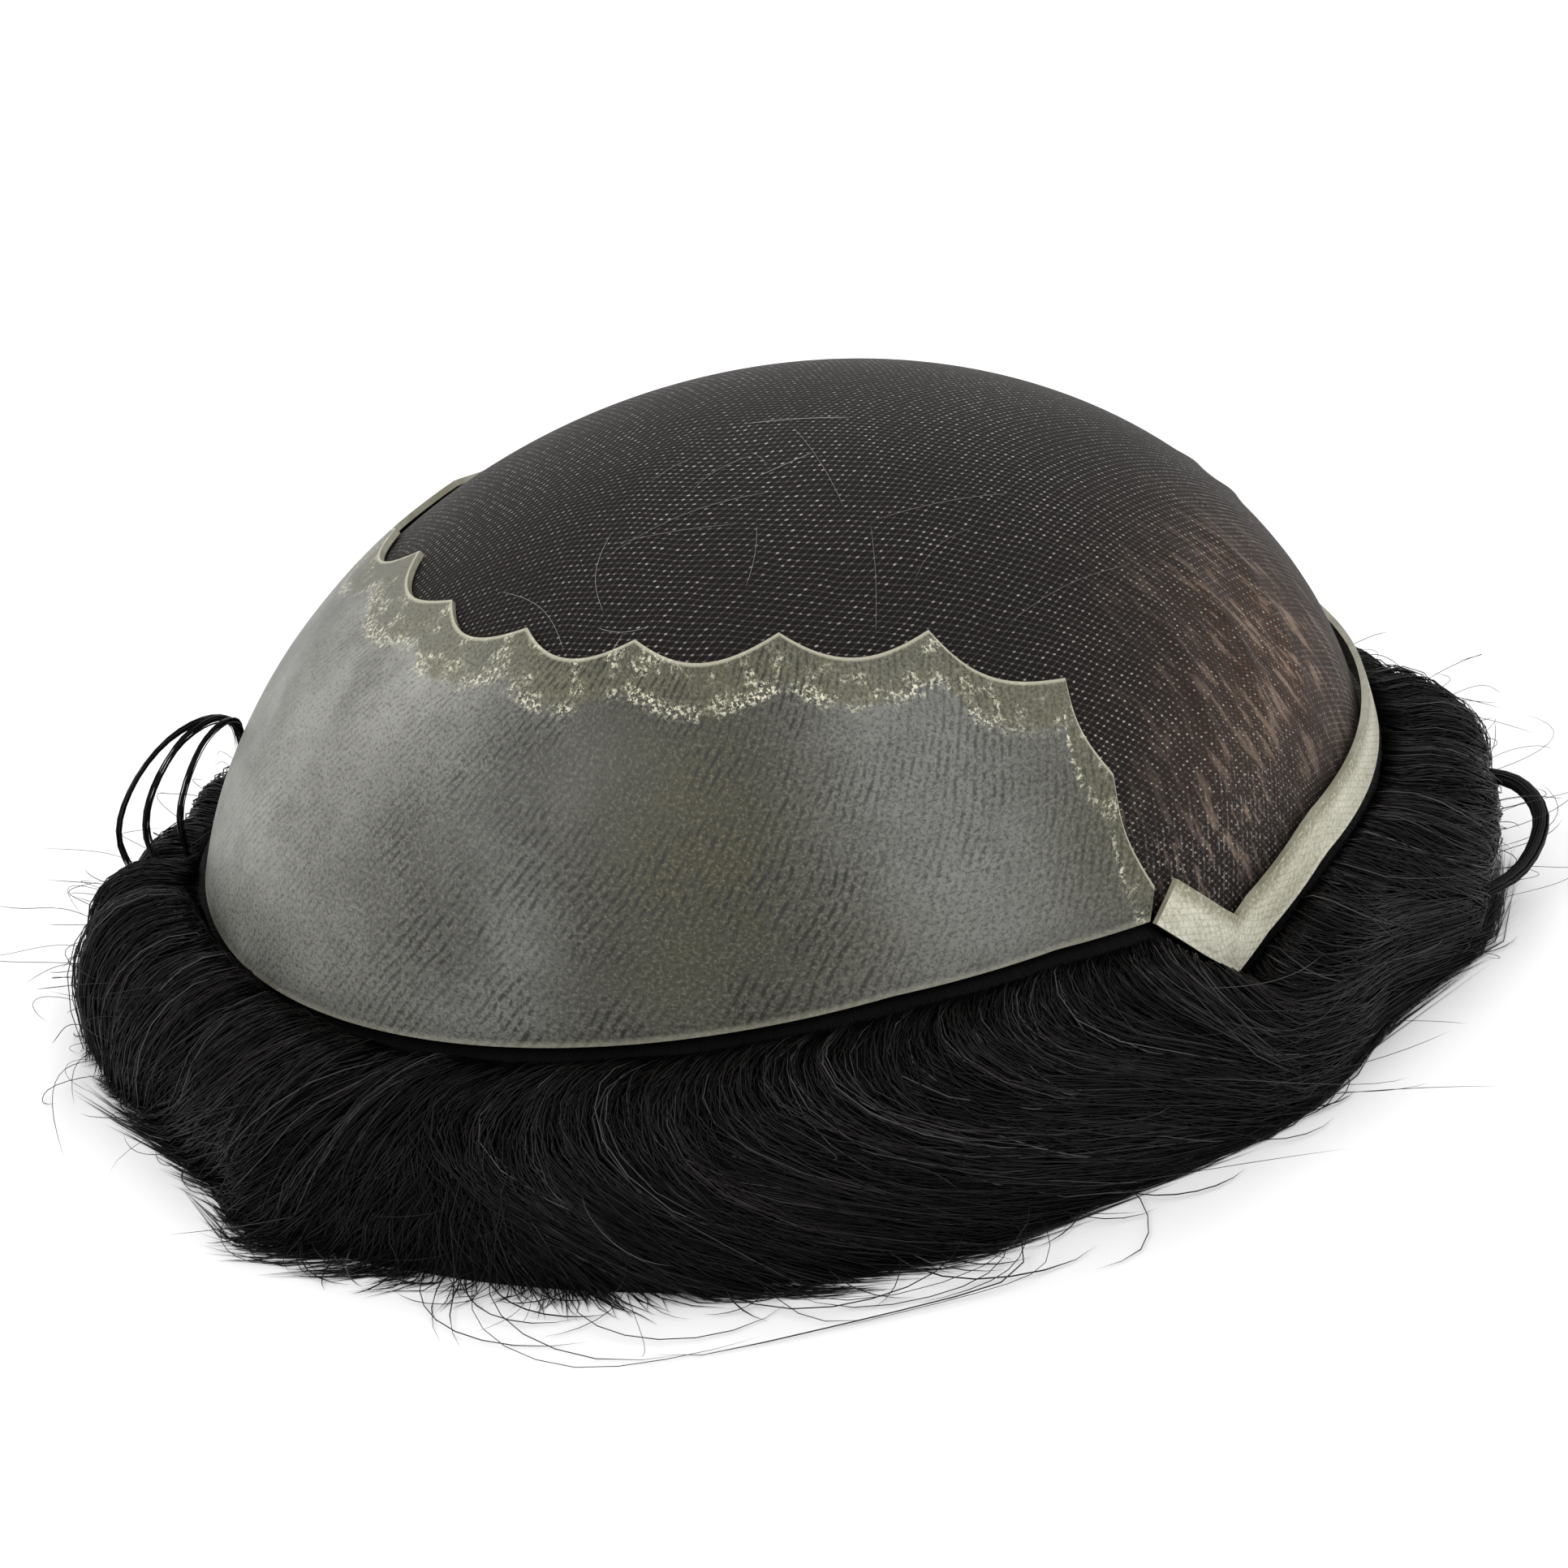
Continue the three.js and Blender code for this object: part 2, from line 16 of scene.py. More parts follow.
import bmesh
import bpy
import numpy as np
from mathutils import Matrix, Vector


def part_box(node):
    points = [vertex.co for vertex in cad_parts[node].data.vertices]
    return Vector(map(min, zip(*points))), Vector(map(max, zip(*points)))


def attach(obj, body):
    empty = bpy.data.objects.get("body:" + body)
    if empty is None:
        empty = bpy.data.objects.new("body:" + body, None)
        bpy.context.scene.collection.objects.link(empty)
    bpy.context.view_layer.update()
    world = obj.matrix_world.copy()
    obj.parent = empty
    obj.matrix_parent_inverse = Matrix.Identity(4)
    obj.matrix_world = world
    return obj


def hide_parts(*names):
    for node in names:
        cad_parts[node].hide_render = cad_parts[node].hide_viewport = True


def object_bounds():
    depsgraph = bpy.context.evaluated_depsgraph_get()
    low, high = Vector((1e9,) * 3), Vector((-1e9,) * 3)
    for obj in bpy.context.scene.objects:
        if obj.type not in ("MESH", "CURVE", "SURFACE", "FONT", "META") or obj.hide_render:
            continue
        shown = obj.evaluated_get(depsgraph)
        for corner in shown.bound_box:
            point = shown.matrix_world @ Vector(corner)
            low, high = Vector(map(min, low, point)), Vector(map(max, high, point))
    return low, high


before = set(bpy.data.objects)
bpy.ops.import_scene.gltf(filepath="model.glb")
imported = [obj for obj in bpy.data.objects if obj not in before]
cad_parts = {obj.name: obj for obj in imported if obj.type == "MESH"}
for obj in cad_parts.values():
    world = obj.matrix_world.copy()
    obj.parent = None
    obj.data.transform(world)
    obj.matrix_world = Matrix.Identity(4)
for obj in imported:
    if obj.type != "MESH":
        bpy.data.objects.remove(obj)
solid_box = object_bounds()

log = logging.getLogger("toupee")

Array = np.ndarray
Colour = tuple[float, float, float]

MM = 0.001

# Latitude of the rim at each bearing, the same on both sides.
RIM = {
    "bearing": (0, 30, 45, 56, 61, 64.5, 69, 79, 95, 180),
    "latitude": (5, 5.6, 6.2, 4, 2, 6.5, 13, 15, 16.4, 16.8),
}

# Peaks of the panel's scalloped edge: left and right are its height on the +Y and the -Y side as
# shares of the panel's width, foot is the bearing on the rim below.
SCALLOP = {
    "bearing": (66.5, 65, 77, 98, 122, 144, 167),
    "left": (0.29, 0.52, 0.7, 0.76, 0.8, 0.92, 1.12),
    "right": (0.3, 0.57, 0.83, 0.95, 1.02, 1.08, 1.12),
    "foot": (75, 86, 92, 104, 123, 144, 167),
}

# Folds of the net behind the hairline, from their top to their foot.
FOLDS = {
    "top": (12, 1, -9, -20, -32, -44),
    "foot": (40, 32, 24, -38, -47, -55),
    "from": (38, 40, 41, 44, 46, 44),
    "to": (12, 12, 11, 14, 15, 18),
    "height": (0.5, 0.6, 0.5, 0.9, 1.0, 0.7),
}

# The hair round the rim: shares of its reach and of the rim's height, and its swing in degrees.
HAIR = {
    "bearing": (
        -180, -165, -156, -149, -135, -117, -95, -75, -55, -40, -24, -8, 4, 16, 30, 80, 125, 152, 168, 180,
    ),
    "reach": (
        0.58, 0.54, 0.6, 0.8, 0.76, 0.74, 0.6, 0.42, 0.33, 0.26,
        0.54, 0.62, 0.44, 0.3, 0.22, 0.34, 0.36, 0.42, 0.5, 0.58,
    ),
    "crest": (
        1.2, 1.1, 1, 0.95, 0.9, 0.9, 0.9, 0.9, 0.9, 0.9, 0.85, 0.8, 0.8, 0.75, 0.6, 0.6, 0.5, 0.5, 0.85, 1.2,
    ),
    "sweep": (0, -4, -6, -6, -2, 12, 19, 22, 18, 16, 9, 4, 0, -4, -10, -15, -8, 0, 0, 0),
}

# Locks take these shares of their length, width and thickness in turn.
LOCKS = {
    "length": (1.0, 1.1, 0.95, 1.06, 1.02),
    "width": (1.0, 0.8, 1.1, 0.7, 0.95),
    "thickness": (1.0, 0.85, 1.1, 0.75, 1.0),
}

# Degrees that the strands swing along the rim on their way down, and that they bend back before that.
FLOW = {
    "bearing": (-180, -165, -148, -134, -122, -108, -85, -60, -42, -22, -6, 6, 30, 80, 125, 152, 180),
    "swing": (4, -6, -16, -10, 16, 30, 34, 32, 32, 20, 8, -4, -16, -28, -18, -2, 4),
    "bend": (0, 0, 0, 4, 8, 8, 7, 5, 1, 0, 0, 0, 0, -4, -3, 0, 0),
}

# Curls of loose hair on the floor: how many at each place, how far beyond the rim, how wide.
CURLS = {
    "bearing": (-150, -143, -136, -128, -120, -112, -100, -90, -78, -62, -46, -30, -14, 172, -166),
    "count": (10, 14, 16, 14, 8, 10, 9, 9, 10, 9, 7, 7, 8, 6, 7),
    "out": (0.85, 0.95, 0.95, 0.92, 0.85, 0.95, 0.8, 0.85, 0.65, 0.6, 0.65, 0.7, 0.8, 0.8, 0.8),
    "width": (9, 10, 12, 10, 34, 16, 40, 22, 18, 15, 13, 12, 12, 9, 10),
}

# Painted light on the film at each bearing, the same on both sides: most at the back, least along the middle
# of the sides.
PAINTED_FILM_LIGHT = {
    "bearing": (60, 70, 78, 90, 97, 106, 124, 138, 150, 160, 170, 180),
    "light": (0.34, 0.3, 0.34, 0.36, 0.22, 0.1, 0.1, 0.17, 0.3, 0.52, 0.62, 0.72),
}

# Soft patches on the film: strength, then bearing and latitude of the middle, then size in degrees.
# The first patches are the film's own olive tint, the second painted reflections of the sky, the third
# painted highlights.
FILM_SPOTS = {
    "olive": (
        (1.0, (-113, 38), (13, 18)),
        (0.8, (-71, 22), (6, 12)),
        (0.5, (-104, 22), (18, 6)),
        (0.7, (120, 36), (20, 14)),
    ),
    "sky_reflection": (
        (0.75, (-85, 33), (8, 14)),
        (0.45, (-131, 27), (5, 7)),
        (0.5, (88, 33), (10, 14)),
        (0.3, (-136, 20), (7, 4)),
    ),
    "light": ((0.45, (-152, 52), (14, 7)), (0.12, (-125, 18), (60, 4))),
}

# The thick loop of hair at the front: out is a share of the hair's reach.
THICK_LOOP = {
    "bearing": (-10, -11.5, -14, -17.5, -22, -26),
    "out": (0.35, 0.56, 0.74, 0.82, 0.72, 0.48),
    "height": (0.88, 1.0, 1.02, 0.86, 0.6, 0.42),
}


def wrapped(bearing: Array) -> Array:
    """Bearing brought between -180 and 180 degrees."""
    return np.mod(np.asarray(bearing, float) + 180, 360) - 180


def eased(table: dict[str, Sequence[float]], column: str, bearing: Array) -> Array:
    """Value of a table's column at a bearing, eased between the rows on either side.

    Args:
        table: Columns of equal length, one of them named bearing.
        column: Name of the column that is read.
        bearing: Bearings in degrees.

    Returns:
        One value for each bearing.
    """
    knots = np.array(table["bearing"], float)
    values = np.array(table[column], float)
    here = wrapped(bearing)
    at = np.clip(np.searchsorted(knots, here, side="right") - 1, 0, len(knots) - 2)
    share = (here - knots[at]) / (knots[at + 1] - knots[at])
    share = share * share * (3 - 2 * share)
    return values[at] + (values[at + 1] - values[at]) * share


def unit(vectors: Array) -> Array:
    """Vectors of unit length along the last axis."""
    return vectors / np.maximum(np.linalg.norm(vectors, axis=-1, keepdims=True), 1e-12)


def smooth_path(points: Array, count: int) -> Array:
    """Smooth curve through a few points.

    Args:
        points: The points that it passes, one a row.
        count: How many points the curve has.

    Returns:
        Points of the curve, evenly spread over the spans.
    """
    ends = np.vstack([2 * points[0] - points[1], points, 2 * points[-1] - points[-2]])
    at = np.linspace(0, len(points) - 1, count)
    span = np.minimum(at.astype(int), len(points) - 2)
    t = (at - span)[:, None]
    a, b, c, d = (ends[span + i] for i in range(4))
    return 0.5 * (2 * b + (c - a) * t + (2 * a - 5 * b + 4 * c - d) * t**2 + (3 * b - a - 3 * c + d) * t**3)


@dataclass(frozen=True)
class HeadForm:
    """Half of an ellipsoid that the base is shaped on, tilted with its front up."""

    half_length: float = 95 * MM
    half_width: float = 74 * MM
    half_height: float = 82 * MM
    rest_height: float = 32.5 * MM
    front_tilt: float = math.radians(9)
    back_latitude: float = 16.8
    middle: tuple[float, float] = (0.0, 0.0)

    def centre(self) -> Array:
        """Middle of the whole ellipsoid."""
        rise = self.half_height * math.sin(math.radians(self.back_latitude)) * math.cos(self.front_tilt)
        return np.array([*self.middle, self.rest_height - rise])

    def point(self, bearing: Array, latitude: Array, depth: Array = 0.0) -> Array:
        """Point of the base, a depth below the outer skin of the head form.

        Args:
            bearing: Bearings in degrees.
            latitude: Latitudes in degrees.
            depth: Depths in metres.

        Returns:
            Points, with their three coordinates on the last axis.
        """
        b, t, d = np.broadcast_arrays(np.radians(bearing), np.radians(latitude), depth)
        on_unit = np.stack([np.cos(t) * np.cos(b), np.cos(t) * np.sin(b), np.sin(t)], -1)
        half = np.array([self.half_length, self.half_width, self.half_height])
        flat = on_unit * half - unit(on_unit / half) * d[..., None]
        c, s = math.cos(self.front_tilt), math.sin(self.front_tilt)
        x = flat[..., 0] * c - flat[..., 2] * s
        z = flat[..., 0] * s + flat[..., 2] * c
        return np.stack([x, flat[..., 1], z], -1) + self.centre()

    def north_speed(self, bearing: Array, latitude: Array) -> Array:
        """Metres over the head form for each degree of latitude."""
        b, t = np.radians(bearing), np.radians(latitude)
        girth = np.hypot(self.half_length * np.cos(b), self.half_width * np.sin(b))
        return np.radians(np.hypot(girth * np.sin(t), self.half_height * np.cos(t)))

    def east_speed(self, bearing: Array, latitude: Array) -> Array:
        """Metres over the head form for each degree of bearing."""
        b, t = np.radians(bearing), np.radians(latitude)
        girth = np.hypot(self.half_length * np.sin(b), self.half_width * np.cos(b))
        return np.radians(girth * np.cos(t))

    def climb(self, bearing: Array, latitude: Array, distance: Array) -> Array:
        """Latitude reached by climbing a distance over the head form from a latitude."""
        pieces = 8
        reached = np.asarray(latitude, float)
        for _ in range(pieces):
            reached = reached + np.asarray(distance) / pieces / self.north_speed(bearing, reached)
        return reached

    def from_crown(self, bearing: Array, latitude: Array) -> Array:
        """Length over the head form from the crown down to a place."""
        pieces = 24
        bearing, latitude = np.broadcast_arrays(bearing, latitude)
        total = np.zeros(bearing.shape)
        for i in range(pieces):
            middle = 90 - (90 - latitude) * (i + 0.5) / pieces
            total = total + self.north_speed(bearing, middle) * (90 - latitude) / pieces
        return total

    def rim_latitude(self, bearing: Array) -> Array:
        """Latitude of the rim at a bearing."""
        return np.interp(np.abs(wrapped(bearing)), RIM["bearing"], RIM["latitude"])

    def outward(self, bearing: Array) -> Array:
        """Level direction away from the base at the rim."""
        latitude = self.rim_latitude(bearing)
        away = self.point(bearing, latitude, 0) - self.point(bearing, latitude, MM)
        away[..., 2] = 0
        return unit(away)

    def beyond_rim(self, bearing: Array, out: Array, height: Array) -> Array:
        """Point a distance beyond the rim and at a height over the surface below."""
        step = self.outward(bearing) * np.asarray(out)[..., None]
        made = self.point(bearing, self.rim_latitude(bearing)) + step
        made[..., 2] = height
        return made


@dataclass(frozen=True)
class Skirt:
    """The rounded mass of hair round the rim, with broad locks on it."""

    form: HeadForm
    reach: float = 34 * MM
    fullness: float = 0.9
    drop: float = 0.85
    sweep_power: float = 1.8
    lock_count: int = 25
    lock_width: float = 24 * MM
    lock_thickness: float = 9 * MM
    lock_top: float = 0.04
    flow_power: float = 2.1
    spread: float = 80 * MM

    def swung(self, root: Array, slope: Array) -> Array:
        """Degrees that a strand has moved along the rim when it is this far down the skirt."""
        swing = eased(FLOW, "swing", root) * np.clip(slope, 0, 2) ** self.flow_power
        return swing - eased(FLOW, "bend", root) * np.sin(math.pi * np.clip(slope, 0, 1))

    def _curve(self, bearing: Array, slope: Array) -> tuple[Array, Array, Array, Array]:
        """Distance out and height on the skirt, then the reach and crest that they are shares of."""
        rim_height = self.form.point(bearing, self.form.rim_latitude(bearing))[..., 2]
        reach = self.reach * eased(HAIR, "reach", bearing)
        crest = rim_height * eased(HAIR, "crest", bearing)
        turn = np.clip(slope, 0, 1) * math.pi / 2
        beyond = np.maximum(slope - 1, 0)
        out = reach * (np.sin(turn) ** self.fullness + beyond)
        height = crest * np.maximum(np.cos(turn), 0) ** self.drop
        return out, height, reach, crest

    def lock_lift(self, bearing: Array, slope: Array) -> Array:
        """Height of the broad locks over the plain skirt."""
        lift = np.zeros(np.broadcast(bearing, slope).shape)
        out = self._curve(bearing, slope)[0]
        speed = self.form.east_speed(bearing, self.form.rim_latitude(bearing)) * (1 + out / self.spread)
        for i in range(self.lock_count):
            root = -180 + 360 * i / self.lock_count
            row = {name: column[i % len(column)] for name, column in LOCKS.items()}
            line = root + eased(HAIR, "sweep", np.array(root)) * np.clip(slope, 0, 2) ** self.sweep_power
            share = np.clip((slope - self.lock_top) / (row["length"] - self.lock_top), 0, 1)
            swell = np.sin(math.pi * share**0.8)
            half_width = (0.3 + 0.7 * swell) * self.lock_width * row["width"] / 2
            reach = eased(HAIR, "reach", np.array(root))
            half_thickness = swell * self.lock_thickness * row["thickness"] * reach / 2
            across = np.abs(wrapped(bearing - line)) * speed / half_width
            lift = np.maximum(lift, half_thickness * np.sqrt(np.clip(1 - across**2, 0, 1)))
        return lift

    def point(self, bearing: Array, slope: Array, lift: Array = 0.0) -> Array:
        """Point over the skirt: slope 0 is its crest beside the rim, slope 1 its edge on the floor.

        Args:
            bearing: Bearings in degrees.
            slope: How far down the skirt, from 0 to a little over 1.
            lift: Height over the locked skirt in metres.

        Returns:
            Points, with their three coordinates on the last axis.
        """
        bearing, slope, lift = np.broadcast_arrays(bearing, slope, lift)
        out, height, reach, crest = self._curve(bearing, slope)
        away = self.form.outward(bearing)
        lean = unit(np.stack([np.minimum(out, reach) / reach**2, height / crest**2], -1))
        high = lift + self.lock_lift(bearing, slope)
        made = self.form.beyond_rim(bearing, out, height)
        made = made + away * (lean[..., 0] * high)[..., None]
        made[..., 2] += lean[..., 1] * high
        return made


class Graph:
    """Adds nodes to a tree and joins them."""

    def __init__(self, tree: bpy.types.NodeTree) -> None:
        """Takes the tree that the nodes go into."""
        self.tree = tree

    def feed(self, socket: bpy.types.NodeSocket, value: Any) -> None:
        """Links a socket to another one, or sets its value."""
        if isinstance(value, bpy.types.NodeSocket):
            self.tree.links.new(value, socket)
        elif isinstance(value, tuple) and len(value) == 3 and socket.type == "RGBA":
            socket.default_value = (*value, 1.0)
        else:
            socket.default_value = value

    def add(self, kind: str, inputs: dict[str | int, Any] | None = None, **settings: Any) -> bpy.types.Node:
        """Makes a node.

        Args:
            kind: Blender's name of the node's type.
            inputs: A value or another node's output for each socket named.
            settings: The node's own settings.

        Returns:
            The node.
        """
        node = self.tree.nodes.new(kind)
        for name, value in settings.items():
            setattr(node, name, value)
        for name, value in (inputs or {}).items():
            self.feed(node.inputs[name], value)
        return node

    def math(self, operation: str, *values: Any) -> bpy.types.NodeSocket:
        """Result of a Math node."""
        return self.add("ShaderNodeMath", dict(enumerate(values)), operation=operation).outputs[0]

    def times(self, first: Any, second: Any) -> bpy.types.NodeSocket:
        """Product of two values."""
        return self.math("MULTIPLY", first, second)

    def plus(self, first: Any, second: Any) -> bpy.types.NodeSocket:
        """Sum of two values."""
        return self.math("ADD", first, second)

    def scaled(self, value: Any, factor: float, offset: float) -> bpy.types.NodeSocket:
        """Value times a factor, with an offset added."""
        return self.math("MULTIPLY_ADD", value, factor, offset)

    def vector(self, operation: str, *values: Any) -> bpy.types.NodeSocket:
        """Result of a Vector Math node."""
        node = self.add("ShaderNodeVectorMath", dict(enumerate(values)), operation=operation)
        return node.outputs["Value" if operation == "LENGTH" else "Vector"]

    def mixed(self, share: Any, first: Any, second: Any) -> bpy.types.NodeSocket:
        """Colour between two colours."""
        sockets = {0: share, 6: first, 7: second}
        return self.add("ShaderNodeMix", sockets, data_type="RGBA").outputs[2]

    def ramped(
        self, value: Any, low: Any, high: Any, start: float = 0, end: float = 1
    ) -> bpy.types.NodeSocket:
        """Value eased from start to end as it goes from low to high."""
        sockets = {0: value, 1: low, 2: high, 3: start, 4: end}
        return self.add("ShaderNodeMapRange", sockets, interpolation_type="SMOOTHSTEP").outputs[0]

    def noise(
        self, place: Any, scale: Any, detail: float = 3, roughness: float = 0.55
    ) -> bpy.types.NodeSocket:
        """Value of a Noise Texture, mostly between 0.3 and 0.7."""
        sockets = {"Vector": place, "Scale": scale, "Detail": detail, "Roughness": roughness}
        return self.add("ShaderNodeTexNoise", sockets).outputs["Fac"]

    def attribute(self, name: str, output: str = "Vector") -> bpy.types.NodeSocket:
        """A mesh's own attribute."""
        return self.add("ShaderNodeAttribute", attribute_name=name).outputs[output]

    def parts(self, vector: Any) -> list[bpy.types.NodeSocket]:
        """The three numbers of a vector."""
        return list(self.add("ShaderNodeSeparateXYZ", {0: vector}).outputs)

    def joined(self, x: Any, y: Any, z: Any = 0.0) -> bpy.types.NodeSocket:
        """Vector of three numbers."""
        return self.add("ShaderNodeCombineXYZ", {0: x, 1: y, 2: z}).outputs[0]

    def bump(self, height: Any, strength: float, distance: float) -> bpy.types.NodeSocket:
        """Normal of a Bump node."""
        sockets = {"Height": height, "Strength": strength, "Distance": distance}
        return self.add("ShaderNodeBump", sockets).outputs["Normal"]

    def group(self, tree: bpy.types.NodeTree, inputs: dict[str, Any]) -> bpy.types.Node:
        """Places a node group with its own values."""
        node = self.add("ShaderNodeGroup", node_tree=tree)
        for name, value in inputs.items():
            self.feed(node.inputs[name], value)
        return node


def new_group(
    name: str, inputs: dict[str, str], outputs: dict[str, str]
) -> tuple[Graph, bpy.types.Node, bpy.types.Node]:
    """Makes an empty node group.

    Args:
        name: The group's name.
        inputs: Type of each input socket.
        outputs: Type of each output socket.

    Returns:
        The group's graph, its input node and its output node.
    """
    tree = bpy.data.node_groups.new(name, "ShaderNodeTree")
    for socket, kind in inputs.items():
        tree.interface.new_socket(socket, in_out="INPUT", socket_type=kind)
    for socket, kind in outputs.items():
        tree.interface.new_socket(socket, in_out="OUTPUT", socket_type=kind)
    graph = Graph(tree)
    return graph, graph.add("NodeGroupInput"), graph.add("NodeGroupOutput")


class Effects:
    """Node groups that more than one finish uses."""

    def __init__(self) -> None:
        """Builds each group once."""
        self.net = self._net()
        self.mottle = self._mottle()
        self.streaks = self._streaks()

    def _net(self) -> bpy.types.NodeTree:
        """Net of threads in two slanting directions, with a knot where they cross.

        Place is in millimetres over the cloth, Pitch is the spacing of the rows.
        """
        inputs = {"Place": "NodeSocketVector", "Pitch": "NodeSocketFloat", "Knot": "NodeSocketFloat"}
        outputs = {"Knots": "NodeSocketFloat", "Threads": "NodeSocketFloat"}
        graph, given, out = new_group("Knotted net", inputs, outputs)
        slow = graph.noise(given.outputs["Place"], 0.05, 2)
        shift = graph.times(slow, 2.2)
        x, y, _ = graph.parts(given.outputs["Place"])
        x = graph.plus(x, shift)
        y = graph.plus(y, shift)
        waves = []
        for lean in (math.radians(62), math.radians(-58)):
            along = graph.plus(graph.times(x, math.cos(lean)), graph.times(y, math.sin(lean)))
            turn = graph.times(graph.math("DIVIDE", along, given.outputs["Pitch"]), 2 * math.pi)
            waves.append(graph.scaled(graph.math("COSINE", turn), 0.5, 0.5))
        both = graph.times(*waves)
        edge = graph.math("SUBTRACT", 1.0, given.outputs["Knot"])
        knots = graph.ramped(both, edge, graph.plus(edge, 0.3))
        threads = graph.ramped(graph.math("MAXIMUM", *waves), 0.75, 1.0)
        graph.feed(out.inputs["Knots"], knots)
        graph.feed(out.inputs["Threads"], threads)
        return graph.tree

    def _mottle(self) -> bpy.types.NodeTree:
        """Soft uneven patches between 0 and 1, two sizes mixed."""
        inputs = {"Place": "NodeSocketVector", "Scale": "NodeSocketFloat"}
        graph, given, out = new_group("Mottle", inputs, {"Patches": "NodeSocketFloat"})
        broad = graph.noise(given.outputs["Place"], given.outputs["Scale"], 2)
        fine = graph.noise(given.outputs["Place"], graph.times(given.outputs["Scale"], 5.0), 3)
        both = graph.plus(graph.times(broad, 0.65), graph.times(fine, 0.35))
        graph.feed(out.inputs["Patches"], graph.ramped(both, 0.34, 0.66))
        return graph.tree

    def _streaks(self) -> bpy.types.NodeTree:
        """Fine lines that run along the flow of hair.

        Flow holds the place across the hair in millimetres in X and Y, and the place along it in Z.
        """
        inputs = {"Flow": "NodeSocketVector", "Fineness": "NodeSocketFloat"}
        graph, given, out = new_group("Hair streaks", inputs, {"Streaks": "NodeSocketFloat"})
        stretched = graph.vector("MULTIPLY", given.outputs["Flow"], (1.0, 1.0, 0.06))
        fine = graph.noise(stretched, given.outputs["Fineness"], 4, 0.7)
        graph.feed(out.inputs["Streaks"], graph.ramped(fine, 0.3, 0.7))
        return graph.tree


class Finish:
    """A material with one Principled shader."""

    def __init__(self, name: str) -> None:
        """Makes the material and clears its nodes."""
        self.material = bpy.data.materials.new(name)
        self.material.use_nodes = True
        self.material.node_tree.nodes.clear()
        self.graph = Graph(self.material.node_tree)

    def shaded(self, sockets: dict[str, Any]) -> bpy.types.Material:
        """Adds the shader with these values and hands the material back."""
        shader = self.graph.add("ShaderNodeBsdfPrincipled", sockets)
        self.graph.add("ShaderNodeOutputMaterial", {"Surface": shader.outputs[0]})
        return self.material


@dataclass(frozen=True)
class NetFinish:
    """Dark knotted net over black hair; pale knots, partly painted glints; a brown patch with painted crease
    light and shade.
    """

    ground: Colour = (0.0055, 0.0044, 0.0041)
    thread: Colour = (0.024, 0.02, 0.0185)
    brown: Colour = (0.075, 0.043, 0.03)
    # Pale knot colour, partly the knots' own and partly painted glints.
    knot: Colour = (0.34, 0.315, 0.29)
    # Colour of the painted highlights on the creases.
    crease_highlight: Colour = (0.3, 0.22, 0.165)
    pitch: float = 0.98
    knot_size: float = 0.46
    gather_pitch: float = 1.3

    def material(self, effects: Effects) -> bpy.types.Material:
        """Builds the material."""
        finish = Finish("Dark net")
        g = finish.graph
        place = g.attribute("cloth")
        brown, _, gathers = g.parts(g.attribute("tint"))
        net = g.group(effects.net, {"Place": place, "Pitch": self.pitch, "Knot": self.knot_size})
        patches = g.group(effects.mottle, {"Place": place, "Scale": 0.035}).outputs["Patches"]
        glints = g.ramped(g.noise(place, 0.75, 3, 0.75), 0.47, 0.61)
        ground = g.mixed(g.times(brown, 0.9), self.ground, self.brown)
        cloth = g.mixed(g.times(net.outputs["Threads"], 0.9), ground, self.thread)
        # The pale knots are partly their own colour and partly painted glints: they show in soft patches and
        # where the glint noise is high.
        patchy_glints = g.times(g.scaled(patches, 0.7, 0.3), g.scaled(glints, 1.1, 0.12))
        share = g.times(net.outputs["Knots"], patchy_glints)
        colour = g.mixed(share, cloth, self.knot)
        x, y, _ = g.parts(place)
        # Rows of gathered threads beside the strip in the knots' colour, broken up by the painted glints.
        rows = g.ramped(g.math("SINE", g.times(x, 2 * math.pi / self.gather_pitch)), 0.2, 1.0)
        broken = g.times(rows, glints)
        colour = g.mixed(g.times(g.times(gathers, broken), 0.6), colour, self.knot)
        # Painted highlights on the creases of the brown patch and the gathers, and painted shade between the
        # creases of the brown patch.
        round_crown = g.times(g.math("ARCTAN2", y, x), 70.0)
        from_crown = g.times(g.vector("LENGTH", place), 0.16)
        runs = g.noise(g.joined(round_crown, from_crown), 0.6, 3, 0.65)
        lit = g.times(g.math("MAXIMUM", brown, gathers), g.ramped(runs, 0.5, 0.64))
        crease_shade = g.times(brown, g.ramped(runs, 0.46, 0.34))
        colour = g.mixed(g.times(crease_shade, 0.7), colour, self.ground)
        colour = g.mixed(g.times(lit, 0.62), colour, self.crease_highlight)
        height = g.plus(net.outputs["Knots"], g.times(net.outputs["Threads"], 0.5))
        sockets = {
            "Base Color": colour,
            "Roughness": g.scaled(net.outputs["Knots"], -0.25, 0.75),
            "Specular IOR Level": 0.12,
            "Sheen Weight": 0.06,
            "Sheen Roughness": 0.4,
            "Sheen Tint": (0.8, 0.78, 0.76, 1.0),
            "Normal": g.bump(height, 0.5, 0.25 * MM),
        }
        return finish.shaded(sockets)


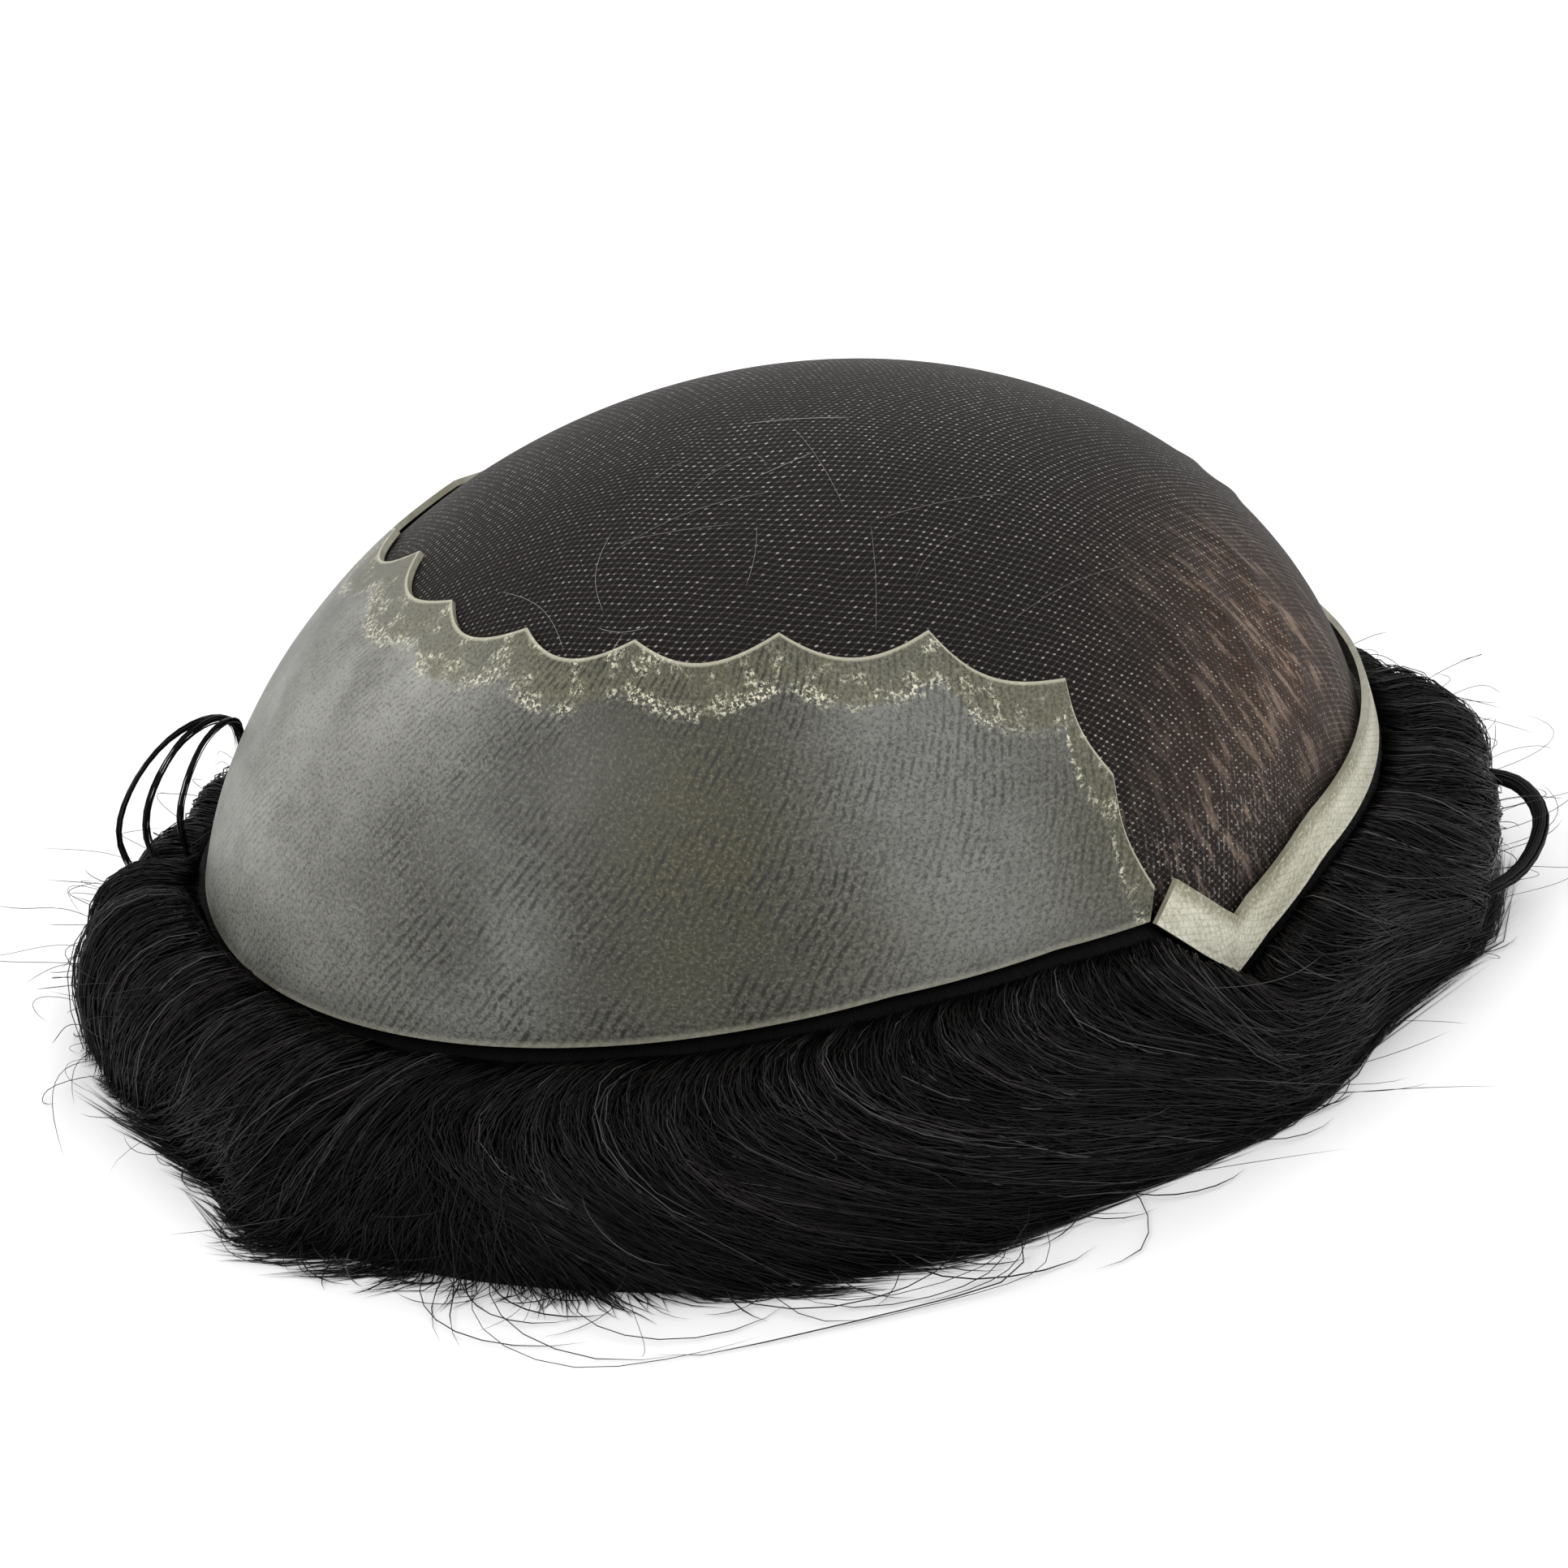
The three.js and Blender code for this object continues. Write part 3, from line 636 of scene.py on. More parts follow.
@dataclass(frozen=True)
class FilmFinish:
    """Grey translucent film with rows of hair roots under it, an olive glued border and painted light."""

    dark: Colour = (0.012, 0.0115, 0.0085)
    grey: Colour = (0.019, 0.0182, 0.0132)
    # Pale is the colour of the painted light on the film.
    pale: Colour = (0.3, 0.3, 0.275)
    olive: Colour = (0.04, 0.036, 0.009)
    speck: Colour = (0.22, 0.212, 0.165)
    border: Colour = (0.098, 0.092, 0.047)
    # Colour of the painted reflection of the sky in soft patches.
    sky_reflection: Colour = (0.19, 0.195, 0.19)
    cream: Colour = (0.62, 0.6, 0.46)
    root_pitch: float = 1.35
    border_width: float = 7.6

    def roots(self, g: Graph, flat: Any) -> bpy.types.NodeSocket:
        """Slanting rows of hair roots, broken here and there, 1 where a root shows."""
        along, down, _ = g.parts(flat)
        slant = g.plus(g.times(along, 0.86), g.times(down, 0.51))
        bent = g.plus(slant, g.times(g.noise(flat, 0.08, 2), 3.0))
        bent = g.plus(bent, g.times(g.noise(flat, 0.8, 2), 0.4))
        wave = g.math("SINE", g.times(bent, 2 * math.pi / self.root_pitch))
        rows = g.ramped(wave, -0.3, 0.9)
        broken = g.ramped(g.noise(flat, 0.7, 2, 0.7), 0.38, 0.56)
        clear = g.ramped(g.noise(flat, 0.07, 2), 0.4, 0.6, 0.35, 1.0)
        return g.times(g.times(rows, broken), clear)

    def material(self, effects: Effects) -> bpy.types.Material:
        """Builds the material."""
        finish = Finish("Grey film")
        g = finish.graph
        place = g.attribute("cloth")
        # The tint holds the olive tone, the painted reflection of the sky and the painted light.
        olive, sky_reflection, pale = g.parts(g.attribute("tint"))
        _, below, above = g.parts(place)
        flat = g.attribute("weave")
        patches = g.group(effects.mottle, {"Place": flat, "Scale": 0.06}).outputs["Patches"]
        grain = g.noise(flat, 1.75, 3, 0.8)
        roots = self.roots(g, flat)
        uneven = g.scaled(patches, 0.45, 0.78)
        # Painted light: the grey is lightened unevenly towards the pale colour where the light mask is high.
        base = g.mixed(g.times(pale, uneven), self.grey, self.pale)
        base = g.mixed(g.times(olive, g.scaled(patches, 0.6, 0.3)), base, self.olive)
        # Painted reflection of the sky, mixed in over the soft patches.
        base = g.mixed(g.times(sky_reflection, g.scaled(patches, 0.5, 0.6)), base, self.sky_reflection)
        wavy = g.plus(below, g.scaled(g.noise(flat, 0.5, 3), 3.4, -1.7))
        in_border = g.ramped(wavy, self.border_width + 1.0, self.border_width - 1.0)
        base = g.mixed(g.times(in_border, g.scaled(patches, 0.4, 0.4)), base, self.border)
        specks = g.ramped(grain, 0.51, 0.64)
        pits = g.ramped(grain, 0.5, 0.38)
        # Light specks of the grain, shown mostly where the light is painted.
        base = g.mixed(g.times(specks, g.ramped(pale, 0.1, 0.35, 0.34, 0.5)), base, self.speck)
        base = g.mixed(g.times(pits, 0.6), base, self.dark)
        # The rows of roots fade where the light is painted.
        clear = g.ramped(pale, 0.14, 0.5, 0.95, 0.3)
        base = g.mixed(g.times(roots, clear), base, self.dark)
        off_line = g.math("ABSOLUTE", g.math("SUBTRACT", wavy, self.border_width))
        # Painted glints: cream specks along the buried scalloped line and here and there in the border.
        sparkle = g.ramped(g.noise(flat, 1.3, 3, 0.75), 0.49, 0.6)
        on_line = g.times(g.ramped(off_line, 2.1, 0.3), g.ramped(g.noise(flat, 0.14, 2), 0.4, 0.6))
        in_band = g.times(in_border, g.ramped(g.noise(flat, 0.2, 2), 0.5, 0.66))
        line_glints = g.times(g.math("MAXIMUM", on_line, g.times(in_band, 0.85)), sparkle)
        base = g.mixed(line_glints, base, self.cream)
        top_edge = g.ramped(below, 0.8, 0.25)
        foot_edge = g.ramped(above, 1.3, 0.2)
        edges = g.math("MAXIMUM", g.times(top_edge, 0.5), g.times(foot_edge, 0.25))
        base = g.mixed(edges, base, self.cream)
        sockets = {
            "Base Color": base,
            "Roughness": g.ramped(grain, 0.3, 0.75, 0.38, 0.58),
            "Specular IOR Level": 0.3,
            "Coat Weight": g.scaled(patches, 0.12, 0.04),
            "Coat Roughness": 0.3,
            "Normal": g.bump(grain, 0.7, 0.16 * MM),
        }
        return finish.shaded(sockets)


@dataclass(frozen=True)
class EdgeFinish:
    """Pale cut edge of the film and the strip."""

    cream: Colour = (0.34, 0.33, 0.25)
    shade: Colour = (0.2, 0.19, 0.13)

    def material(self, effects: Effects) -> bpy.types.Material:
        """Builds the material."""
        finish = Finish("Cut edge")
        g = finish.graph
        place = g.add("ShaderNodeTexCoord").outputs["Object"]
        patches = g.group(effects.mottle, {"Place": place, "Scale": 120.0}).outputs["Patches"]
        sockets = {
            "Base Color": g.mixed(patches, self.shade, self.cream),
            "Roughness": 0.42,
            "Normal": g.bump(g.noise(place, 1400.0, 2), 0.2, 0.1 * MM),
        }
        return finish.shaded(sockets)


@dataclass(frozen=True)
class StripFinish:
    """Cream film over a fine net, with a brighter outer edge and an olive inner one."""

    cream: Colour = (0.43, 0.415, 0.315)
    light: Colour = (0.68, 0.66, 0.54)
    olive: Colour = (0.15, 0.14, 0.07)
    pitch: float = 1.0

    def material(self, effects: Effects) -> bpy.types.Material:
        """Builds the material."""
        finish = Finish("Cream strip")
        g = finish.graph
        place = g.attribute("cloth")
        _, across, _ = g.parts(place)
        net = g.group(effects.net, {"Place": place, "Pitch": self.pitch, "Knot": 0.5})
        patches = g.group(effects.mottle, {"Place": place, "Scale": 0.06}).outputs["Patches"]
        base = g.mixed(patches, self.cream, self.light)
        inner = g.ramped(g.plus(across, g.times(g.noise(place, 0.3, 4, 0.7), 4.0)), 6.6, 9.0)
        base = g.mixed(g.times(inner, 0.8), base, self.olive)
        outer = g.ramped(across, 1.1, 0.3)
        base = g.mixed(outer, base, self.light)
        base = g.mixed(g.times(net.outputs["Threads"], 0.26), base, self.olive)
        grain = g.noise(place, 1.4, 3, 0.8)
        base = g.mixed(g.ramped(grain, 0.5, 0.36, 0.0, 0.42), base, self.olive)
        base = g.mixed(g.ramped(grain, 0.51, 0.66, 0.0, 0.6), base, self.light)
        sockets = {
            "Base Color": base,
            "Roughness": g.scaled(patches, -0.12, 0.48),
            "Specular IOR Level": 0.45,
            "Coat Weight": g.times(patches, 0.25),
            "Coat Roughness": 0.3,
            "Normal": g.bump(net.outputs["Threads"], 0.25, 0.1 * MM),
        }
        return finish.shaded(sockets)


@dataclass(frozen=True)
class HairFinish:
    """Black hair with a soft gloss. Tone sets how far a strand is from black; the top tones are painted
    highlights.
    """

    black: Colour = (0.0028, 0.0026, 0.0026)
    brown: Colour = (0.019, 0.0165, 0.016)
    # Grey is a painted highlight on the lightest strands.
    grey: Colour = (0.07, 0.067, 0.067)
    specular: float = 0.13
    roughness: float = 0.36

    def strands(self) -> bpy.types.Material:
        """Material of bare strands, whose tone is an attribute."""
        finish = Finish("Hair strands")
        g = finish.graph
        tone = g.attribute("tone", "Fac")
        plain = g.mixed(tone, self.black, self.brown)
        sockets = {
            # The brown is the strands' own random tone; the grey of the top tones is a painted highlight.
            "Base Color": g.mixed(g.ramped(tone, 0.86, 1.0), plain, self.grey),
            "Roughness": g.scaled(tone, 0.15, self.roughness - 0.05),
            "Specular IOR Level": self.specular,
        }
        return finish.shaded(sockets)

    def mass(self, effects: Effects) -> bpy.types.Material:
        """Material of the closed mass that the strands lie on."""
        finish = Finish("Hair mass")
        g = finish.graph
        flow = g.attribute("flow")
        streaks = g.group(effects.streaks, {"Flow": flow, "Fineness": 0.9}).outputs["Streaks"]
        shown = g.times(streaks, g.ramped(g.parts(flow)[2], 4.0, 12.0, 0.0, 0.5))
        sockets = {
            "Base Color": g.mixed(shown, self.black, self.brown),
            "Roughness": g.scaled(streaks, -0.15, 0.6),
            "Specular IOR Level": 0.05,
            "Normal": g.bump(streaks, 0.8, 0.5 * MM),
        }
        return finish.shaded(sockets)


@dataclass(frozen=True)
class StrayFinish:
    """Pale loose hairs that lie on the net."""

    pale: Colour = (0.3, 0.285, 0.27)
    dull: Colour = (0.12, 0.11, 0.1)

    def material(self) -> bpy.types.Material:
        """Builds the material."""
        finish = Finish("Pale stray hair")
        g = finish.graph
        tone = g.attribute("tone", "Fac")
        sockets = {
            "Base Color": g.mixed(tone, self.dull, self.pale),
            "Roughness": 0.35,
        }
        return finish.shaded(sockets)


def triangle_count(obj: bpy.types.Object) -> int:
    """Triangles of a finished mesh."""
    return sum(len(face.vertices) - 2 for face in obj.data.polygons)


def placed(
    name: str, mesh: bpy.types.Mesh, materials: Sequence[bpy.types.Material]
) -> bpy.types.Object:
    """Puts a mesh in the scene as a piece that rides on the body.

    Args:
        name: The piece's name.
        mesh: Its mesh, already in place.
        materials: Its materials in the order of their slots.

    Returns:
        The piece.
    """
    obj = bpy.data.objects.new(name, mesh)
    bpy.context.scene.collection.objects.link(obj)
    for material in materials:
        mesh.materials.append(material)
    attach(obj, "root")
    log.info("%s: %d triangles", name, triangle_count(obj))
    return obj


def set_attribute(mesh: bpy.types.Mesh, name: str, values: Array) -> None:
    """Keeps a number or a vector for each point of a mesh."""
    vector = values.ndim == 2
    made = mesh.attributes.new(name, "FLOAT_VECTOR" if vector else "FLOAT", "POINT")
    made.data.foreach_set("vector" if vector else "value", np.ascontiguousarray(values, np.float32).ravel())


def turned_mesh(name: str, rows: Array) -> tuple[bpy.types.Mesh, Array, Array]:
    """Shapes a sphere's rings to a profile at each bearing.

    Args:
        name: The mesh's name.
        rows: Points by bearing and ring. The first and the last ring are one point each.

    Returns:
        The mesh, and for each of its points the number of its bearing and of its ring.
    """
    around, rings = rows.shape[0], rows.shape[1] - 1
    shell = bmesh.new()
    bmesh.ops.create_uvsphere(shell, u_segments=around, v_segments=rings, radius=1)
    mesh = bpy.data.meshes.new(name)
    shell.to_mesh(mesh)
    shell.free()
    co = np.empty(len(mesh.vertices) * 3, np.float32)
    mesh.vertices.foreach_get("co", co)
    co = co.reshape(-1, 3).astype(float)
    ring = np.rint(np.arccos(np.clip(co[:, 2], -1, 1)) / math.pi * rings).astype(int)
    column = np.rint(np.arctan2(co[:, 1], co[:, 0]) / (2 * math.pi) * around).astype(int) % around
    mesh.vertices.foreach_set("co", rows[column, ring].astype(np.float32).ravel())
    mesh.shade_smooth()
    mesh.update()
    return mesh, column, ring


def bearings_around(count: int) -> Array:
    """Even bearings all round, starting at the middle of the hairline."""
    return np.arange(count) * 360.0 / count


def sheet_mesh(name: str, columns: int, rows: int) -> tuple[bpy.types.Mesh, Array, Array]:
    """Flat grid whose points are then moved.

    Args:
        name: The mesh's name.
        columns: Squares along it.
        rows: Squares across it.

    Returns:
        The mesh, and for each point its share along and its share across.
    """
    flat = bmesh.new()
    bmesh.ops.create_grid(flat, x_segments=columns, y_segments=rows, size=1)
    mesh = bpy.data.meshes.new(name)
    flat.to_mesh(mesh)
    flat.free()
    co = np.empty(len(mesh.vertices) * 3, np.float32)
    mesh.vertices.foreach_get("co", co)
    co = co.reshape(-1, 3).astype(float)
    return mesh, (co[:, 0] + 1) / 2, (co[:, 1] + 1) / 2


def walled(obj: bpy.types.Object, thickness: float, sharp: float = math.radians(40)) -> bpy.types.Object:
    """Gives an open sheet its wall, with the cut edge in the second material."""
    wall = obj.modifiers.new("Wall", "SOLIDIFY")
    wall.thickness = thickness
    wall.offset = -1
    wall.material_offset_rim = 1
    shown = obj.evaluated_get(bpy.context.evaluated_depsgraph_get())
    mesh = bpy.data.meshes.new_from_object(shown)
    obj.modifiers.clear()
    obj.data = mesh
    mesh.shade_smooth()
    mesh.set_sharp_from_angle(angle=sharp)
    return obj


def blob(bearing: Array, latitude: Array, at: tuple[float, float], size: tuple[float, float]) -> Array:
    """Soft round mask on the base, 1 at its middle."""
    far = (wrapped(bearing - at[0]) / size[0]) ** 2 + ((latitude - at[1]) / size[1]) ** 2
    return np.exp(-far)


def blobs(bearing: Array, latitude: Array, spots: Sequence[tuple]) -> Array:
    """Sum of soft round masks, each given as its strength, its middle and its size."""
    return sum(strength * blob(bearing, latitude, at, size) for strength, at, size in spots)


@dataclass
class NetDome:
    """The dome of dark net, with folds behind the hairline."""

    form: HeadForm
    gap: float = 0.3 * MM
    cover: float = 1.0 * MM
    wall: float = 1.0 * MM
    inset: float = 3 * MM
    fold_height: float = 0.9 * MM
    fold_width: float = 7 * MM
    crease_height: float = 0.45 * MM
    columns: int = 340
    rings: int = 60

    def fold_lift(self, bearing: Array, latitude: Array) -> Array:
        """Height of the broad folds over the dome."""
        lift = np.zeros(bearing.shape)
        for top, foot, start, end, height in zip(*FOLDS.values()):
            down = (start - latitude) / (start - end)
            line = top + (foot - top) * down
            away = wrapped(bearing - line) * self.form.east_speed(bearing, latitude)
            ridge = np.clip(1 - np.abs(away) / (self.fold_width / 2), 0, 1)
            ridge = ridge * ridge * (3 - 2 * ridge)
            held = np.where((down > 0) & (down < 1), np.sin(math.pi * np.clip(down, 0, 1)), 0)
            lift = lift + self.fold_height * height * ridge * held
        return lift

    def crease_lift(self, bearing: Array, latitude: Array) -> Array:
        """Height of the small creases in the brown patch, in shares of their full height."""
        patch = blob(bearing, latitude, (-34, 27), (17, 15))
        lean = bearing + 0.42 * (latitude - 27)
        narrow = np.sin(np.radians(lean * 360 / 4.1))
        wide = 0.6 * np.sin(np.radians(lean * 360 / 6.7 + latitude * 7))
        return patch * np.clip((narrow + wide) * 0.6, 0, 1)

    def build(self, material: bpy.types.Material) -> bpy.types.Object:
        """Builds the dome as a closed wall."""
        around = bearings_around(self.columns)[:, None]
        edge = self.form.climb(around, self.form.rim_latitude(around), self.inset)
        share = np.linspace(0, 1, self.rings + 1)[None, :]
        latitude = 90 + (edge - 90) * share
        bearing = np.broadcast_to(around, latitude.shape)
        creases = self.crease_height * self.crease_lift(bearing, latitude)
        fade = np.clip((90 - latitude) / 20, 0, 1)
        lift = (self.fold_lift(bearing, latitude) + creases) * fade
        depth = self.cover + self.gap - lift
        outer = self.form.point(bearing, latitude, depth)
        inner = self.form.point(bearing, latitude, depth + self.wall)
        rows = np.concatenate([outer, inner[:, ::-1]], axis=1)
        mesh, column, ring = turned_mesh("net_dome", rows)
        both = np.concatenate([latitude, latitude[:, ::-1]], axis=1)[column, ring]
        here = bearings_around(self.columns)[column]
        away = self.form.from_crown(here, both) / MM
        turn = np.radians(here)
        cloth = np.stack([away * np.cos(turn), away * np.sin(turn), np.zeros(len(here))], -1)
        set_attribute(mesh, "cloth", cloth)
        set_attribute(mesh, "tint", self.tint(here, both))
        obj = placed("net_dome", mesh, [material])
        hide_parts("lace_cap")
        return obj

    def tint(self, bearing: Array, latitude: Array) -> Array:
        """Masks for the finish: brown patch, nothing, and the gathers beside the strip."""
        brown = blobs(bearing, latitude, [(1, (-33, 26), (17, 14)), (0.25, (-54, 22), (9, 9))])
        climbed = latitude - self.form.rim_latitude(bearing)
        over_strip = climbed * self.form.north_speed(bearing, latitude) / MM
        near = np.exp(-(((over_strip - 16) / 9) ** 2)) * blob(bearing, latitude, (-55, 18), (12, 14))
        return np.stack([np.clip(brown, 0, 1), np.zeros(len(near)), near], -1)


@dataclass
class FilmPanel:
    """The wide film panel round the back and the sides, with its scalloped edge."""

    form: HeadForm
    width: float = 58 * MM
    scallop: float = 3.6 * MM
    steep_gaps: int = 2
    wall: float = 1.0 * MM
    strip_width: float = 7.5 * MM
    seam_bearing: float = 69
    seam_lean: float = 1.6
    seam_share: float = 0.62
    pieces: int = 18
    rows: int = 44
    dent: float = 0.35 * MM
    weave_speed: float = 1.3

    def peaks(self) -> Array:
        """Bearing, latitude and foot of each peak, from the seam on the +Y side round the back."""
        left, right = self.side("left"), self.side("right")
        return np.vstack([left, right[::-1] * (-1, 1, -1) + (360, 0, 360)])

    def side(self, column: str) -> Array:
        """The peaks of one side, from the seam to the back, as if it were the +Y side."""
        bearing = np.array(SCALLOP["bearing"], float)
        latitude = self.form.climb(bearing, self.form.back_latitude, np.array(SCALLOP[column]) * self.width)
        side = np.stack([bearing, latitude, np.array(SCALLOP["foot"], float)], -1)
        seam = self.seam_bearing
        seam_top = self.form.climb(seam, self.form.rim_latitude(seam), self.strip_width * self.seam_share)
        return np.vstack([[seam - self.seam_lean, float(seam_top), seam], side])

    def edge(self) -> Array:
        """Bearing, latitude and foot of each column's top: between peaks the edge dips."""
        peaks = self.peaks()
        made = []
        for i, (a, b) in enumerate(zip(peaks, peaks[1:])):
            from_seam = min(i, len(peaks) - 2 - i)
            depth = self.scallop / 2 if from_seam < self.steep_gaps else self.scallop
            east = (b[0] - a[0]) * float(self.form.east_speed(a[0], a[1]))
            north = (b[1] - a[1]) * float(self.form.north_speed(a[0], a[1]))
            span = math.hypot(east, north)
            share = np.arange(self.pieces) / self.pieces
            dip = depth * np.sin(math.pi * share)
            line = a + (b - a) * share[:, None]
            bearing = line[:, 0] + dip * north / span / self.form.east_speed(line[:, 0], line[:, 1])
            latitude = line[:, 1] - dip * east / span / self.form.north_speed(line[:, 0], line[:, 1])
            made.append(np.stack([bearing, latitude, line[:, 2]], -1))
        return np.vstack([*made, peaks[-1:]])

    def build(self, materials: Sequence[bpy.types.Material]) -> bpy.types.Object:
        """Builds the panel as a closed wall."""
        edge = self.edge()
        columns = len(edge) - 1
        mesh, along, across = sheet_mesh("film_panel", columns, self.rows)
        top = edge[np.rint(along * columns).astype(int)]
        foot = np.stack([top[:, 2], self.form.rim_latitude(top[:, 2])], -1)
        bearing = foot[:, 0] + (top[:, 0] - foot[:, 0]) * across
        latitude = foot[:, 1] + (top[:, 1] - foot[:, 1]) * across
        points = self.form.point(bearing, latitude, -self.dents(bearing, latitude))
        mesh.vertices.foreach_set("co", points.astype(np.float32).ravel())
        high = self.form.from_crown(foot[:, 0], foot[:, 1]) - self.form.from_crown(top[:, 0], top[:, 1])
        high = np.hypot(high, (top[:, 0] - foot[:, 0]) * self.form.east_speed(foot[:, 0], foot[:, 1])) / MM
        flat = np.zeros(len(high))
        set_attribute(mesh, "cloth", np.stack([flat, high * (1 - across), high * across], -1))
        down = self.form.from_crown(bearing, latitude) / MM
        set_attribute(mesh, "weave", np.stack([bearing * self.weave_speed, down, flat], -1))
        set_attribute(mesh, "tint", self.tint(bearing, latitude))
        mesh.update()
        obj = placed("film_panel", mesh, materials)
        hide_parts("skin_panel")
        walled(obj, self.wall)
        log.info("film_panel walled: %d triangles", triangle_count(obj))
        return obj

    def dents(self, bearing: Array, latitude: Array) -> Array:
        """Height of the film's soft bulges and dents over the head form."""
        turn = np.radians(bearing)
        slow = np.sin(turn * 7 + latitude * 0.11) * np.sin(latitude * 0.16 + turn * 3)
        small = np.sin(turn * 17 + latitude * 0.23 + 1.3) * np.sin(latitude * 0.31 - turn * 5)
        held = np.clip((latitude - self.form.rim_latitude(bearing)) / 8, 0, 1)
        return self.dent * held * (0.6 + 0.5 * slow + 0.2 * small)

    def tint(self, bearing: Array, latitude: Array) -> Array:
        """Masks for the finish: olive tone, painted reflection of the sky and painted light."""
        bearing = wrapped(bearing)
        olive, sky_reflection, light = (blobs(bearing, latitude, spots) for spots in FILM_SPOTS.values())
        # Painted light: the lit ends from the table plus the painted highlights.
        pale = light + np.interp(np.abs(bearing), PAINTED_FILM_LIGHT["bearing"], PAINTED_FILM_LIGHT["light"])
        return np.clip(np.stack([olive, sky_reflection, pale], -1), 0, 1)


@dataclass
class HairlineStrip:
    """The narrow cream strip along the hairline, pointed at both temples."""

    form: HeadForm
    width: float = 7.5 * MM
    wall: float = 1.0 * MM
    gap: float = 0.3 * MM
    corner: tuple[float, float] = (64.5, 61)
    last_bend: float = 56
    seam_bearing: float = 69
    least_mitre: float = 0.5
    pieces: int = 4
    stretches: int = 28
    rows: int = 8

    def outer_places(self) -> Array:
        """Bearing and latitude along the outer edge, one temple to the other."""
        seam_speed = float(self.form.east_speed(self.seam_bearing, self.form.rim_latitude(self.seam_bearing)))
        end = self.seam_bearing - self.gap / seam_speed
        side = [end, *self.corner, *np.linspace(self.last_bend, 0, self.stretches + 1)[:-1]]
        bearing = np.array([*side, 0.0, *[-b for b in reversed(side)]])
        return np.stack([bearing, self.form.rim_latitude(bearing)], -1)

    def _heading(self, a: Array, b: Array) -> Array:
        """Direction from one place to the next as east and north distances."""
        east = (b[:, 0] - a[:, 0]) * self.form.east_speed(a[:, 0], a[:, 1])
        north = (b[:, 1] - a[:, 1]) * self.form.north_speed(a[:, 0], a[:, 1])
        return unit(np.stack([east, north], -1))

    def places(self) -> tuple[Array, Array]:
        """Outer and inner edge: the inner one is mitred where the strip turns."""
        outer = self.outer_places()
        steps = self._heading(outer[:-1], outer[1:])
        before = np.vstack([steps[:1], steps])
        after = np.vstack([steps, steps[-1:]])
        middle = unit(before + after)
        mitre = self.width / np.maximum(self.least_mitre, (middle * before).sum(-1))
        inward = np.stack([middle[:, 1], -middle[:, 0]], -1) * mitre[:, None]
        east = self.form.east_speed(outer[:, 0], outer[:, 1])
        north = self.form.north_speed(outer[:, 0], outer[:, 1])
        return outer, outer + inward / np.stack([east, north], -1)

    def build(self, materials: Sequence[bpy.types.Material]) -> bpy.types.Object:
        """Builds the strip as a closed wall."""
        outer, inner = self.places()
        spans = (len(outer) - 1) * self.pieces
        mesh, along, across = sheet_mesh("hairline_strip", spans, self.rows)
        at = along * (len(outer) - 1)
        ends = np.arange(len(outer))
        rim = np.stack([np.interp(at, ends, outer[:, i]) for i in (0, 1)], -1)
        top = np.stack([np.interp(at, ends, inner[:, i]) for i in (0, 1)], -1)
        place = rim + (top - rim) * across[:, None]
        points = self.form.point(place[:, 0], place[:, 1])
        mesh.vertices.foreach_set("co", points.astype(np.float32).ravel())
        run = np.r_[0, np.cumsum(np.linalg.norm(np.diff(self.form.point(*outer.T), axis=0), axis=1))] / MM
        cloth = np.stack([np.interp(at, ends, run), across * self.width / MM, np.zeros(len(at))], -1)
        set_attribute(mesh, "cloth", cloth)
        mesh.update()
        obj = placed("hairline_strip", mesh, materials)
        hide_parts("front_strip")
        walled(obj, self.wall)
        log.info("hairline_strip walled: %d triangles", triangle_count(obj))
        return obj


